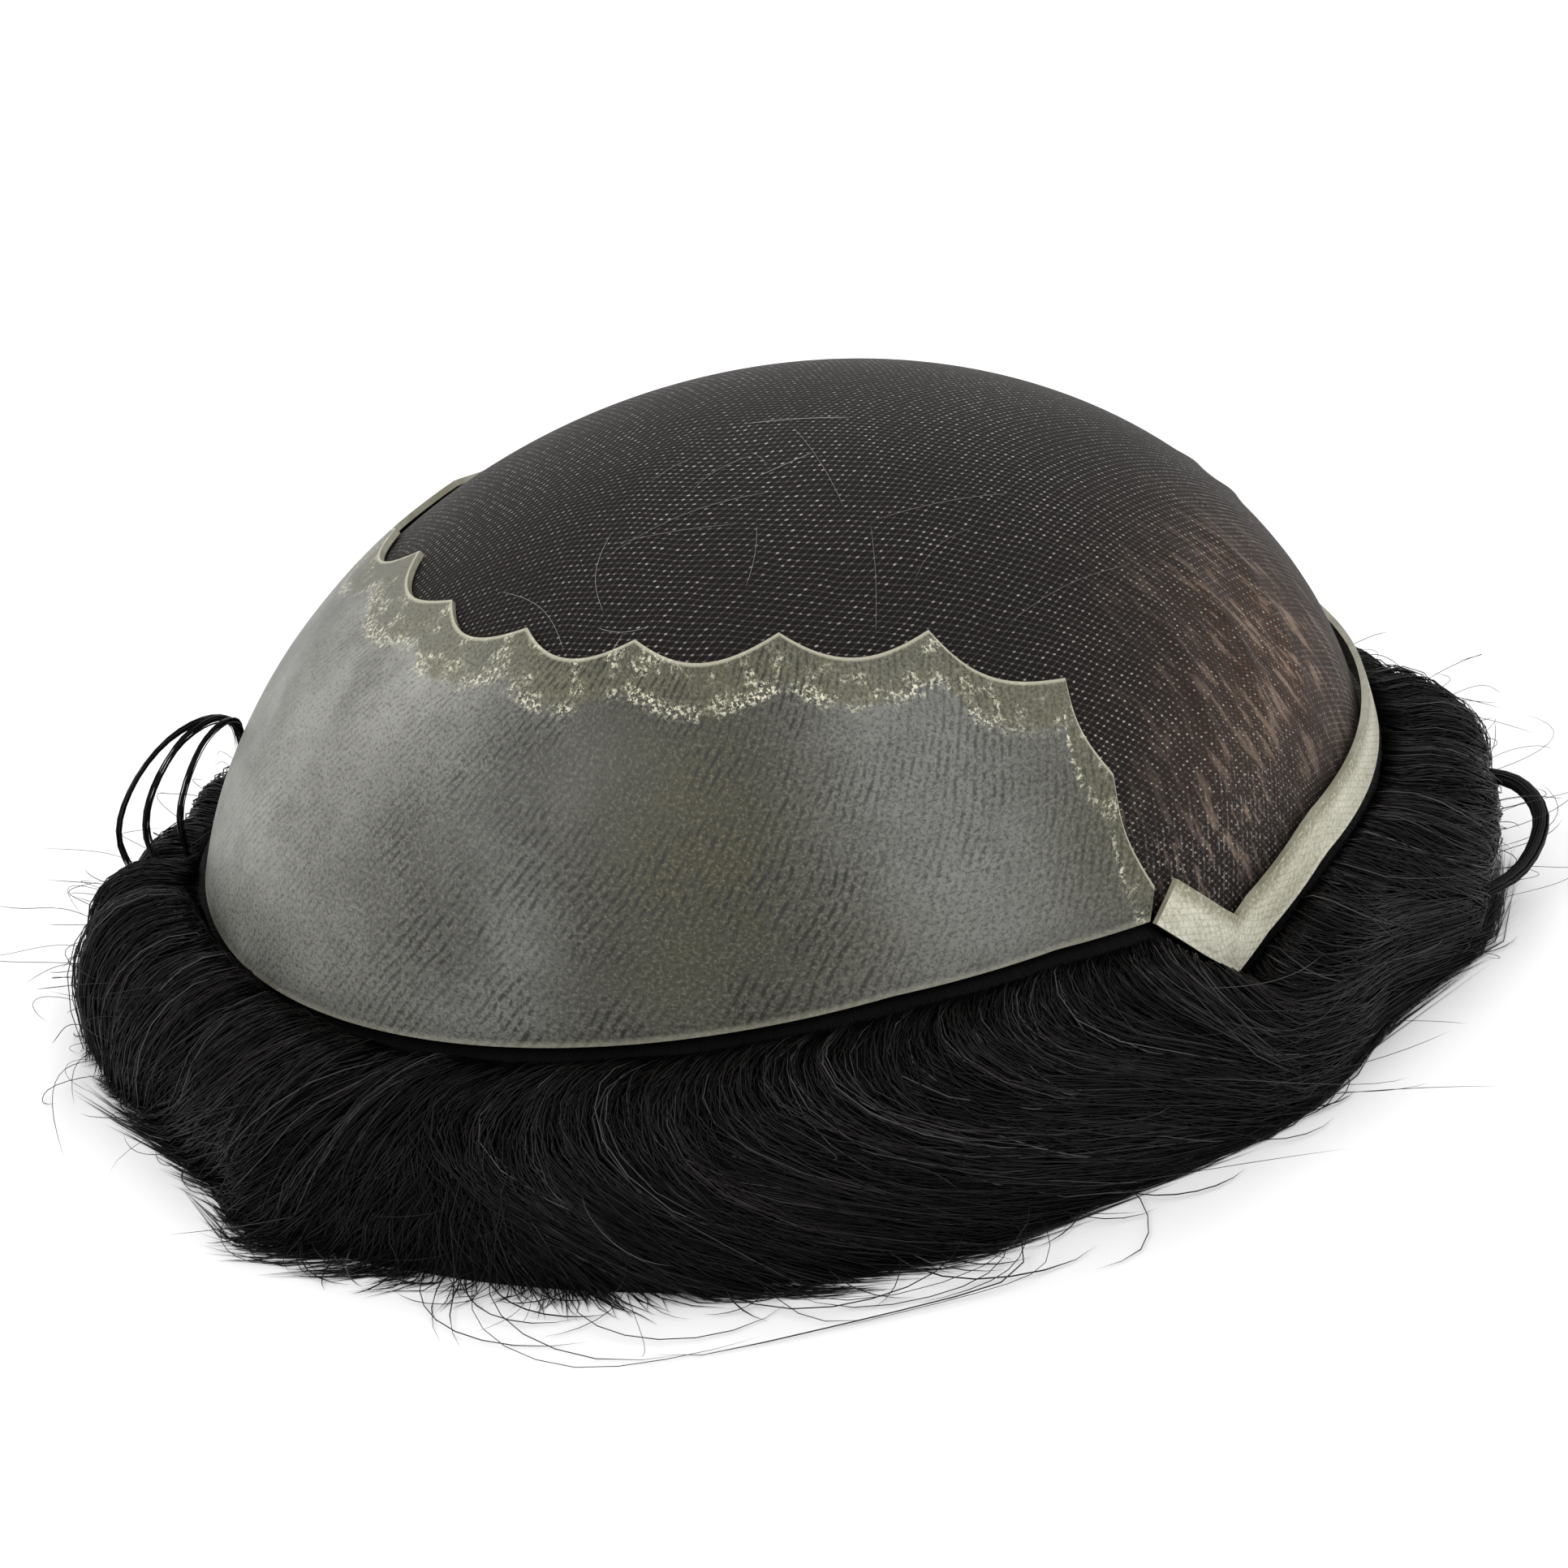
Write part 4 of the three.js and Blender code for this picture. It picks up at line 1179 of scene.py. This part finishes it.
@dataclass
class HairMass:
    """The closed mass of hair: lining under the dome, skirt round the rim, open hollow below."""

    form: HeadForm
    skirt: Skirt
    lining_depth: float = 2.75 * MM
    thickness: float = 14 * MM
    tuck_out: float = 1.2 * MM
    clearance: float = 1.6 * MM
    ridge: float = 0.5 * MM
    columns: int = 320
    lining_rings: int = 10
    skirt_rings: int = 54
    floor_rings: int = 6
    wall_rings: int = 6
    hollow_rings: int = 14

    def rows(self) -> tuple[Array, Array]:
        """Points by bearing and ring, and the slope of each ring on the skirt."""
        bearing = bearings_around(self.columns)[:, None]
        edge = self.form.rim_latitude(bearing)
        down = np.linspace(0, 1, self.lining_rings + 1)[None, :]
        lining = self.form.point(bearing, 90 + (edge - 90) * down, self.lining_depth)
        tuck_height = self.form.point(bearing, edge)[..., 2] - self.clearance
        tuck = self.form.beyond_rim(bearing, np.full(bearing.shape, self.tuck_out), tuck_height)
        slope = np.linspace(0.1, 1, self.skirt_rings)[None, :]
        lift = self.ridges(bearing, slope)
        skirt = self.skirt.point(bearing, slope, lift)
        skirt[..., 2] = np.maximum(skirt[..., 2], 0)
        skirt[:, -1, 2] = 0
        hollow_depth = self.lining_depth + self.thickness
        up = np.linspace(0, 1, self.hollow_rings + 1)[None, :]
        hollow = self.form.point(bearing, edge + (90 - edge) * up, hollow_depth)
        rise = np.linspace(0, 1, self.wall_rings + 1)[None, :-1, None]
        foot = hollow[:, :1] * (1, 1, 0)
        wall = foot + (hollow[:, :1] - foot) * rise
        share = np.linspace(0, 1, self.floor_rings + 1)[None, 1:-1, None]
        floor = skirt[:, -1:] + (foot - skirt[:, -1:]) * share
        return np.concatenate([lining, tuck, skirt, floor, wall, hollow], axis=1), slope[0]

    def ridges(self, bearing: Array, slope: Array) -> Array:
        """Height of narrow ridges that run along the hair."""
        flow = bearing - self.skirt.swung(bearing, slope)
        waves = np.sin(np.radians(flow * 61)) + 0.7 * np.sin(np.radians(flow * 97 + 40))
        return self.ridge * np.sin(math.pi * np.clip(slope, 0, 1)) * waves

    def build(self, material: bpy.types.Material) -> bpy.types.Object:
        """Builds the mass in place of the four growths."""
        rows, slopes = self.rows()
        mesh, column, ring = turned_mesh("hair_mass", rows)
        first = self.lining_rings + 2
        slope = np.interp(ring, first + np.arange(len(slopes)), slopes)
        bearing = bearings_around(self.columns)[column]
        flow = np.radians(bearing - self.skirt.swung(bearing, slope))
        girth = self.form.half_length / MM
        values = np.stack([girth * np.cos(flow), girth * np.sin(flow), slope * self.skirt.reach / MM], -1)
        set_attribute(mesh, "flow", values)
        obj = placed("hair_mass", mesh, [material])
        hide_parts("hair_front", "hair_left", "hair_right", "hair_back")
        return obj


def strand_mesh(
    name: str, paths: Array, radius: Array, tone: Array, turn: Array, sides: int = 3
) -> bpy.types.Mesh:
    """Joined mesh of many closed strands, each pointed at both ends.

    Args:
        name: The mesh's name.
        paths: Points by strand and place along it.
        radius: Radius of each strand.
        tone: Tone of each strand, from 0 to 1.
        turn: A direction for each strand that its section is turned by.
        sides: Sides of a strand's section.

    Returns:
        The mesh.
    """
    count, places = paths.shape[:2]
    rings = places - 2
    tangent = unit(np.gradient(paths, axis=1))
    side = unit(np.cross(tangent, turn[:, None, :]))
    up = np.cross(side, tangent)
    angle = np.arange(sides) * 2 * math.pi / sides
    taper = np.minimum(1.0, 2.2 * np.sin(math.pi * np.arange(1, places - 1) / (places - 1)) + 0.1)
    size = radius[:, None] * taper[None, :]
    ring = side[:, 1:-1, None, :] * np.cos(angle)[:, None] + up[:, 1:-1, None, :] * np.sin(angle)[:, None]
    ring = paths[:, 1:-1, None, :] + ring * size[..., None, None]
    points = np.concatenate([paths[:, :1], ring.reshape(count, rings * sides, 3), paths[:, -1:]], axis=1)
    each = rings * sides + 2
    i = np.arange(sides)
    j = (i + 1) % sides
    root = np.stack([np.zeros(sides, int), 1 + j, 1 + i], -1)
    last = 1 + (rings - 1) * sides
    tip = np.stack([np.full(sides, each - 1), last + i, last + j], -1)
    k = 1 + np.arange(rings - 1)[:, None] * sides
    wall = np.stack([k + i, k + j, k + sides + j, k + sides + i], -1).reshape(-1, 4)
    start = np.arange(count) * each
    fans = (np.concatenate([root, tip])[None] + start[:, None, None]).ravel()
    walls = (wall[None] + start[:, None, None]).ravel()
    mesh = bpy.data.meshes.new(name)
    mesh.vertices.add(count * each)
    mesh.vertices.foreach_set("co", points.astype(np.float32).ravel())
    corners = np.concatenate([fans, walls]).astype(np.int32)
    mesh.loops.add(len(corners))
    mesh.loops.foreach_set("vertex_index", corners)
    sizes = np.concatenate([np.full(len(fans) // 3, 3), np.full(len(walls) // 4, 4)])
    mesh.polygons.add(len(sizes))
    mesh.polygons.foreach_set("loop_start", np.r_[0, np.cumsum(sizes)[:-1]].astype(np.int32))
    mesh.update(calc_edges=True)
    mesh.shade_smooth()
    set_attribute(mesh, "tone", np.repeat(tone, each))
    return mesh


@dataclass
class Growth:
    """Strands that come out under one stretch of the rim and lie on the skirt in clumps."""

    name: str
    first: float
    last: float
    strands: int
    seed: int
    skirt: Skirt
    places: int = 9
    clump_size: int = 24
    clump_width: float = 2.2
    radius: float = 0.12 * MM
    root_out: float = 0.2 * MM
    root_drop: float = 1.8 * MM
    clump_rise: float = 2.6 * MM
    wander: float = 1.4
    above: float = 0.0
    least_tone: float = 0.0
    tone_power: float = 4.0
    start: tuple[float, float] = (0.0, 0.14)
    length: tuple[float, float] = (0.84, 1.1)
    longest: float = 1.14

    def paths(self, rng: np.random.Generator) -> Array:
        """Points by strand and place along it."""
        clumps = max(self.strands // self.clump_size, 1)
        centre = rng.uniform(self.first, self.last, clumps)
        pull = rng.uniform(0.55, 1.4, clumps)
        length = rng.uniform(*self.length, clumps)
        height = rng.uniform(0, 1, clumps) ** 2
        which = rng.integers(0, clumps, self.strands)
        offset = rng.normal(0, 1, self.strands)[:, None]
        s = np.linspace(0, 1, self.places)[None, :]
        start = rng.uniform(*self.start, self.strands)[:, None]
        end = np.clip(length[which] * rng.normal(1, 0.06, self.strands), 0.45, self.longest)[:, None]
        slope = start + (end - start) * s**1.15
        root = centre[which][:, None] + offset * self.clump_width
        swing = self.skirt.swung(centre[which][:, None], slope) * pull[which][:, None]
        if self.start[0] > 0:
            swing = swing - swing[:, :1]
        drawn = offset * self.clump_width * (-0.75 * s**1.4)
        phase = rng.uniform(0, 2 * math.pi, self.strands)[:, None]
        wander = self.wander * np.sin(phase + s * rng.uniform(2, 5, self.strands)[:, None]) * s
        bearing = root + swing + drawn + wander
        lift = 0.15 * MM + rng.uniform(0, 1.3, self.strands)[:, None] * MM * (1 - 0.6 * s)
        lift = lift + (height[which][:, None] * self.clump_rise + self.above) * np.sin(math.pi * s**0.8)
        made = self.skirt.point(bearing, slope, lift)
        if self.start[0] == 0:
            form = self.skirt.form
            rim = form.point(root, form.rim_latitude(root))[:, 0, 2]
            out = np.full(self.strands, self.root_out)
            made[:, 0] = form.beyond_rim(root[:, 0], out, rim - self.root_drop)
        made[..., 2] = np.maximum(made[..., 2], 1.5 * self.radius)
        return made

    def build(self, material: bpy.types.Material) -> bpy.types.Object:
        """Builds the growth as one joined mesh."""
        rng = np.random.default_rng(self.seed)
        paths = self.paths(rng)
        radius = self.radius * rng.uniform(0.75, 1.2, self.strands)
        tone = self.least_tone + (1 - self.least_tone) * rng.uniform(0, 1, self.strands) ** self.tone_power
        turn = unit(rng.normal(0, 1, (self.strands, 3)))
        return placed(self.name, strand_mesh(self.name, paths, radius, tone, turn), [material])


def held_near(paths: Array, margin: float, soft: float = 6 * MM) -> Array:
    """Paths drawn in softly so that they stay within a margin round the solids' box."""
    made = paths.copy()
    low, high = (np.array(corner) for corner in solid_box)
    for axis in (0, 1):
        reach = (high[axis] - low[axis]) / 2 + margin - soft
        value = made[..., axis]
        over = np.maximum(np.abs(value) - reach, 0)
        made[..., axis] = np.where(over > 0, np.sign(value) * (reach + soft * np.tanh(over / soft)), value)
    return made


@dataclass
class Flyaways:
    """Fine loose hairs that stand off the skirt all round."""

    skirt: Skirt
    strands: int = 420
    places: int = 12
    radius: float = 0.06 * MM
    seed: int = 71
    margin: float = 11 * MM
    lowest: float = 0.3 * MM

    def build(self, material: bpy.types.Material) -> bpy.types.Object:
        """Builds the flyaways as one joined mesh."""
        rng = np.random.default_rng(self.seed)
        form = self.skirt.form
        bearing = rng.uniform(-180, 180, self.strands)
        slope = rng.uniform(0.3, 1.0, self.strands)
        root = self.skirt.point(bearing, slope, np.zeros(self.strands))
        away = form.outward(bearing)
        side = np.stack([-away[:, 1], away[:, 0], np.zeros(self.strands)], -1)
        lean = eased(FLOW, "swing", bearing) / 30 * rng.uniform(0.2, 1.0, self.strands)
        size = rng.uniform(0.3, 1, self.strands) ** 2
        up = np.array([0, 0, 1.0])
        first = away * 9 + side * (lean * 9)[:, None] + up * rng.uniform(0, 7, self.strands)[:, None]
        second = away * rng.uniform(8, 24, self.strands)[:, None] + side * (lean * 26)[:, None]
        second = second + up * rng.uniform(-2, 6, self.strands)[:, None]
        third = away * rng.uniform(2, 30, self.strands)[:, None]
        third = third + side * (lean * 44 + rng.normal(0, 9, self.strands))[:, None]
        t = np.linspace(0, 1, self.places)[None, :, None]
        scale = (size * MM)[:, None, None]
        curve = 3 * (1 - t) ** 2 * t * first[:, None] + 3 * (1 - t) * t**2 * second[:, None]
        paths = root[:, None, :] + (curve + t**3 * third[:, None]) * scale
        paths[..., 2] = np.maximum(paths[..., 2], self.lowest)
        paths = held_near(paths, self.margin)
        radius = self.radius * rng.uniform(0.7, 1.2, self.strands)
        tone = rng.uniform(0, 1, self.strands)
        turn = unit(rng.normal(0, 1, (self.strands, 3)))
        mesh = strand_mesh("flyaway_hairs", paths, radius, tone, turn)
        return placed("flyaway_hairs", mesh, [material])


@dataclass
class Curls:
    """Loose hairs that curl on the floor beside the skirt."""

    skirt: Skirt
    places: int = 16
    radius: float = 0.1 * MM
    margin: float = 12 * MM
    lowest: float = 0.3 * MM
    seed: int = 67

    def build(self, material: bpy.types.Material) -> bpy.types.Object:
        """Builds the curls as one joined mesh."""
        rng = np.random.default_rng(self.seed)
        form = self.skirt.form
        t = np.linspace(0, 1, self.places)
        paths = []
        for bearing, count, out, width in zip(*CURLS.values()):
            for _ in range(count):
                root = bearing + rng.normal(0, 5)
                reach = self.skirt.reach * eased(HAIR, "reach", np.array(root))
                middle = form.beyond_rim(np.array(root), reach * out * rng.uniform(0.85, 1.1), 0.0)
                half = width / 2 * MM * rng.uniform(0.6, 1.4)
                turn = np.radians(root) + math.pi + rng.normal(0, 0.5)
                turn = turn + rng.choice([-1, 1]) * t * rng.uniform(2.2, 4.6)
                grow = half * (0.55 + 0.6 * t)
                ring = np.stack([grow * np.cos(turn) * 1.25, grow * np.sin(turn), np.zeros(len(t))], -1)
                place = middle + ring
                place[:, 2] = self.lowest + rng.uniform(2, 9) * MM * (1 - t) ** 1.5
                paths.append(place)
        paths = held_near(np.array(paths), self.margin)
        total = len(paths)
        radius = self.radius * rng.uniform(0.6, 1.3, total)
        turn = unit(rng.normal(0, 1, (total, 3)))
        mesh = strand_mesh("curled_hairs", paths, radius, rng.uniform(0, 1, total), turn)
        return placed("curled_hairs", mesh, [material])


@dataclass
class ThickLoop:
    """The thick loop of hair that springs from the front hair."""

    skirt: Skirt
    thickness: float = 2.7 * MM
    height: float = 16 * MM
    strands: int = 110
    places: int = 20
    radius: float = 0.13 * MM
    seed: int = 83

    def line(self) -> Array:
        """Points along the middle of the loop."""
        rows = zip(*THICK_LOOP.values())
        places = [
            self.skirt.form.beyond_rim(np.array(b), np.array(out * self.skirt.reach), high * self.height)
            for b, out, high in rows
        ]
        return smooth_path(np.array(places), self.places)

    def build(self, material: bpy.types.Material) -> bpy.types.Object:
        """Builds the loop as a bundle of strands round a core."""
        rng = np.random.default_rng(self.seed)
        line = self.line()
        tangent = unit(np.gradient(line, axis=0))
        side = unit(np.cross(tangent, np.array([0, 0, 1.0])))
        up = np.cross(side, tangent)
        share = np.linspace(0, 1, self.places)
        swell = 0.55 + 0.45 * np.sin(math.pi * share)
        angle = rng.uniform(0, 2 * math.pi, self.strands)[:, None]
        angle = angle + share * rng.uniform(0.4, 1.6, self.strands)[:, None]
        away = self.thickness / 2 * np.sqrt(rng.uniform(0, 1, self.strands))[:, None] * swell
        paths = line[None] + side[None] * (away * np.cos(angle))[..., None]
        paths = paths + up[None] * (away * np.sin(angle))[..., None]
        radius = np.r_[self.thickness * 0.36, self.radius * rng.uniform(0.8, 1.3, self.strands)]
        paths = np.concatenate([line[None], paths])
        tone = np.r_[0, rng.uniform(0, 1, self.strands) ** 2]
        turn = unit(rng.normal(0, 1, (self.strands + 1, 3)))
        mesh = strand_mesh("thick_loop", paths, radius, tone, turn, 4)
        return placed("thick_loop", mesh, [material])


@dataclass
class SlimLoops:
    """Three slim loops of hair that stand up behind the left end of the panel."""

    form: HeadForm
    strands: int = 16
    places: int = 22
    thickness: float = 0.9 * MM
    radius: float = 0.11 * MM
    seed: int = 97
    sizes: tuple[float, ...] = (1.0, 0.82, 0.58)

    def line(self, size: float) -> Array:
        """Points along one loop, from its root round to its foot in the hair."""
        route = np.array([
            (-78, 44, 22), (-80, 41, 30), (-86, 36, 34), (-93, 33, 32.5),
            (-99, 31, 26.5), (-101, 32, 18), (-98, 34, 8),
        ]) * MM
        shaped = route[0] + (route - route[0]) * (size, 1, 0.75 + 0.25 * size)
        return smooth_path(shaped + np.array([*self.form.middle, 0]), self.places)

    def build(self, material: bpy.types.Material) -> bpy.types.Object:
        """Builds the loops as one joined mesh."""
        rng = np.random.default_rng(self.seed)
        bundles = []
        for size in self.sizes:
            line = self.line(size)
            offset = rng.normal(0, self.thickness / 4, (self.strands, 1, 3))
            drift = rng.normal(0, self.thickness / 3, (self.strands, 1, 3))
            bundles.append(line[None] + offset + drift * np.linspace(-1, 1, self.places)[None, :, None])
        paths = np.concatenate(bundles)
        total = len(paths)
        radius = self.radius * rng.uniform(0.8, 1.5, total)
        turn = unit(rng.normal(0, 1, (total, 3)))
        mesh = strand_mesh("slim_loops", paths, radius, rng.uniform(0, 0.6, total), turn)
        return placed("slim_loops", mesh, [material])


@dataclass
class StrayHairs:
    """Pale loose hairs on the net near the crown."""

    form: HeadForm
    depth: float = 1.15 * MM
    radius: float = 0.05 * MM
    places: int = 14
    random_count: int = 12
    seed: int = 59

    def routes(self, rng: np.random.Generator) -> list[Array]:
        """Start and end of each hair as bearing and latitude."""
        placed_ones = [
            ((-34, 83), (-73, 69)),
            ((-119, 78), (-82, 82)),
            ((-96, 71), (-102, 63)),
            ((-139, 68), (-85, 75)),
            ((-42, 59), (-71, 66)),
            ((-67, 48), (-42, 45)),
            ((-71, 66), (-84, 53)),
        ]
        routes = [np.array(route, float) for route in placed_ones]
        for _ in range(self.random_count):
            middle = np.array([rng.uniform(-150, -20), rng.uniform(50, 84)])
            step = rng.normal(0, 1, 2) * (8, 4)
            routes.append(np.array([middle - step, middle + step]))
        return routes

    def build(self, material: bpy.types.Material) -> bpy.types.Object:
        """Builds the loose hairs as one joined mesh."""
        rng = np.random.default_rng(self.seed)
        share = np.linspace(0, 1, self.places)[:, None]
        paths = []
        for route in self.routes(rng):
            turn = np.radians(route[:, 0])
            flat = (90 - route[:, 1])[:, None] * np.stack([np.cos(turn), np.sin(turn)], -1)
            bow = np.array([flat[1, 1] - flat[0, 1], flat[0, 0] - flat[1, 0]]) * rng.uniform(-0.12, 0.12)
            line = flat[0] + (flat[1] - flat[0]) * share + bow * np.sin(math.pi * share)
            latitude = np.minimum(90 - np.hypot(line[:, 0], line[:, 1]), 89)
            bearing = np.degrees(np.arctan2(line[:, 1], line[:, 0]))
            paths.append(self.form.point(bearing, latitude, self.depth))
        total = len(paths)
        radius = self.radius * rng.uniform(0.7, 1.3, total)
        turn = unit(rng.normal(0, 1, (total, 3)))
        mesh = strand_mesh("stray_hairs", np.array(paths), radius, rng.uniform(0, 1, total), turn)
        return placed("stray_hairs", mesh, [material])


class Side(Enum):
    """Stretch of the rim that a growth of strands comes out under."""

    BACK = ("strands_back", 127.0, 233.0, 3500, 11)
    RIGHT = ("strands_right", -127.0, -38.0, 4600, 23)
    FRONT = ("strands_front", -38.0, 38.0, 3400, 37)
    LEFT = ("strands_left", 38.0, 127.0, 2900, 41)


@dataclass
class Studio:
    """White floor, soft light and the camera."""

    form: HeadForm
    floor_size: float = 6.0
    floor_drop: float = 0.1 * MM
    floor_colour: Colour = (0.93, 0.93, 0.93)
    sensor: float = 36.0
    lens: float = 108.84
    azimuth: float = math.radians(-20)
    elevation: float = math.radians(30)
    back_off: tuple[float, float, float] = (-2.23 * MM, -640.9 * MM, 385.94 * MM)
    world_strength: float = 1.0
    bounces: int = 3
    soft_bounces: int = 2

    def floor(self) -> None:
        """Lays the floor."""
        flat = bmesh.new()
        bmesh.ops.create_grid(flat, x_segments=1, y_segments=1, size=self.floor_size / 2)
        mesh = bpy.data.meshes.new("floor")
        bmesh.ops.translate(flat, verts=flat.verts, vec=(0, 0, -self.floor_drop))
        flat.to_mesh(mesh)
        flat.free()
        finish = Finish("White floor")
        sockets = {"Base Color": self.floor_colour, "Roughness": 0.9, "Specular IOR Level": 0.0}
        mesh.materials.append(finish.shaded(sockets))
        obj = bpy.data.objects.new("floor", mesh)
        bpy.context.scene.collection.objects.link(obj)

    def world(self) -> None:
        """Lights everything evenly from a white sky."""
        world = bpy.data.worlds.new("White sky")
        world.use_nodes = True
        ground = world.node_tree.nodes["Background"]
        ground.inputs["Color"].default_value = (1, 1, 1, 1)
        ground.inputs["Strength"].default_value = self.world_strength
        bpy.context.scene.world = world

    def lamp(self, name: str, place: Colour, size: float, power: float) -> None:
        """Hangs a square soft light that faces the piece."""
        data = bpy.data.lights.new(name, "AREA")
        data.shape = "SQUARE"
        data.size = size
        data.energy = power
        obj = bpy.data.objects.new(name, data)
        bpy.context.scene.collection.objects.link(obj)
        at = np.array(place)
        obj.location = place
        target = self.form.centre() + np.array([0, 0, 0.03])
        obj.rotation_euler = Vector(target - at).to_track_quat("-Z", "Y").to_euler()

    def camera(self) -> None:
        """Sets the camera where the photographer stood."""
        data = bpy.data.cameras.new("camera")
        data.sensor_width = self.sensor
        data.lens = self.lens
        data.clip_start, data.clip_end = 0.01, 20
        obj = bpy.data.objects.new("camera", data)
        bpy.context.scene.collection.objects.link(obj)
        x, y, z = self.back_off
        c, s = math.cos(self.azimuth), math.sin(self.azimuth)
        centre = self.form.centre()
        obj.location = (centre[0] + x * c - y * s, centre[1] + x * s + y * c, centre[2] + z)
        obj.rotation_euler = (math.pi / 2 - self.elevation, 0, self.azimuth)
        bpy.context.scene.camera = obj

    def build(self) -> None:
        """Sets up the whole studio."""
        self.camera()
        self.floor()
        self.world()
        self.lamp("soft_light_left", (-0.75, -0.45, 0.75), 0.5, 4.2)
        self.lamp("soft_light_back", (0.3, 0.7, 0.8), 0.6, 2.6)
        self.lamp("soft_light_right", (0.9, -0.5, 0.6), 0.5, 1.2)
        bpy.context.scene.view_settings.view_transform = "Standard"
        paths = bpy.context.scene.cycles
        paths.max_bounces = self.bounces
        paths.diffuse_bounces = self.soft_bounces
        paths.glossy_bounces = self.soft_bounces


def fitted_form() -> HeadForm:
    """Head form placed by the box of the film panel, whose back end is its lowest X."""
    low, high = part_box("skin_panel")
    bare = HeadForm()
    back = bare.point(180.0, bare.back_latitude)[0]
    return HeadForm(middle=(low.x - float(back), (low.y + high.y) / 2))


def main() -> None:
    """Builds every piece in order."""
    logging.basicConfig(level=logging.INFO, format="%(name)s %(message)s")
    form = fitted_form()
    skirt = Skirt(form)
    Studio(form).build()
    effects = Effects()
    edge = EdgeFinish().material(effects)
    NetDome(form).build(NetFinish().material(effects))
    FilmPanel(form).build([FilmFinish().material(effects), edge])
    HairlineStrip(form).build([StripFinish().material(effects), edge])
    hair = HairFinish()
    HairMass(form, skirt).build(hair.mass(effects))
    strands = hair.strands()
    for side in Side:
        name, first, last, count, seed = side.value
        Growth(name, first, last, count, seed, skirt).build(strands)
    # Wisps on top with light tones, many of them grey: painted highlights along the hair.
    wisps = {"clump_size": 6, "clump_width": 1.0, "above": 1.3 * MM, "least_tone": 0.5, "tone_power": 1.0}
    Growth("wisps", -185.0, 20.0, 1100, 53, skirt, radius=0.09 * MM, **wisps).build(strands)
    fringe = {"places": 6, "clump_size": 7, "clump_width": 1.5, "radius": 0.1 * MM}
    fringe |= {"start": (0.45, 0.75), "length": (1.0, 1.22), "longest": 1.32}
    Growth("fringe", -157.0, -58.0, 3200, 61, skirt, **fringe).build(strands)
    Flyaways(skirt).build(strands)
    Curls(skirt).build(strands)
    ThickLoop(skirt).build(strands)
    SlimLoops(form).build(strands)
    StrayHairs(form).build(StrayFinish().material())


if __name__ == "__main__":
    main()
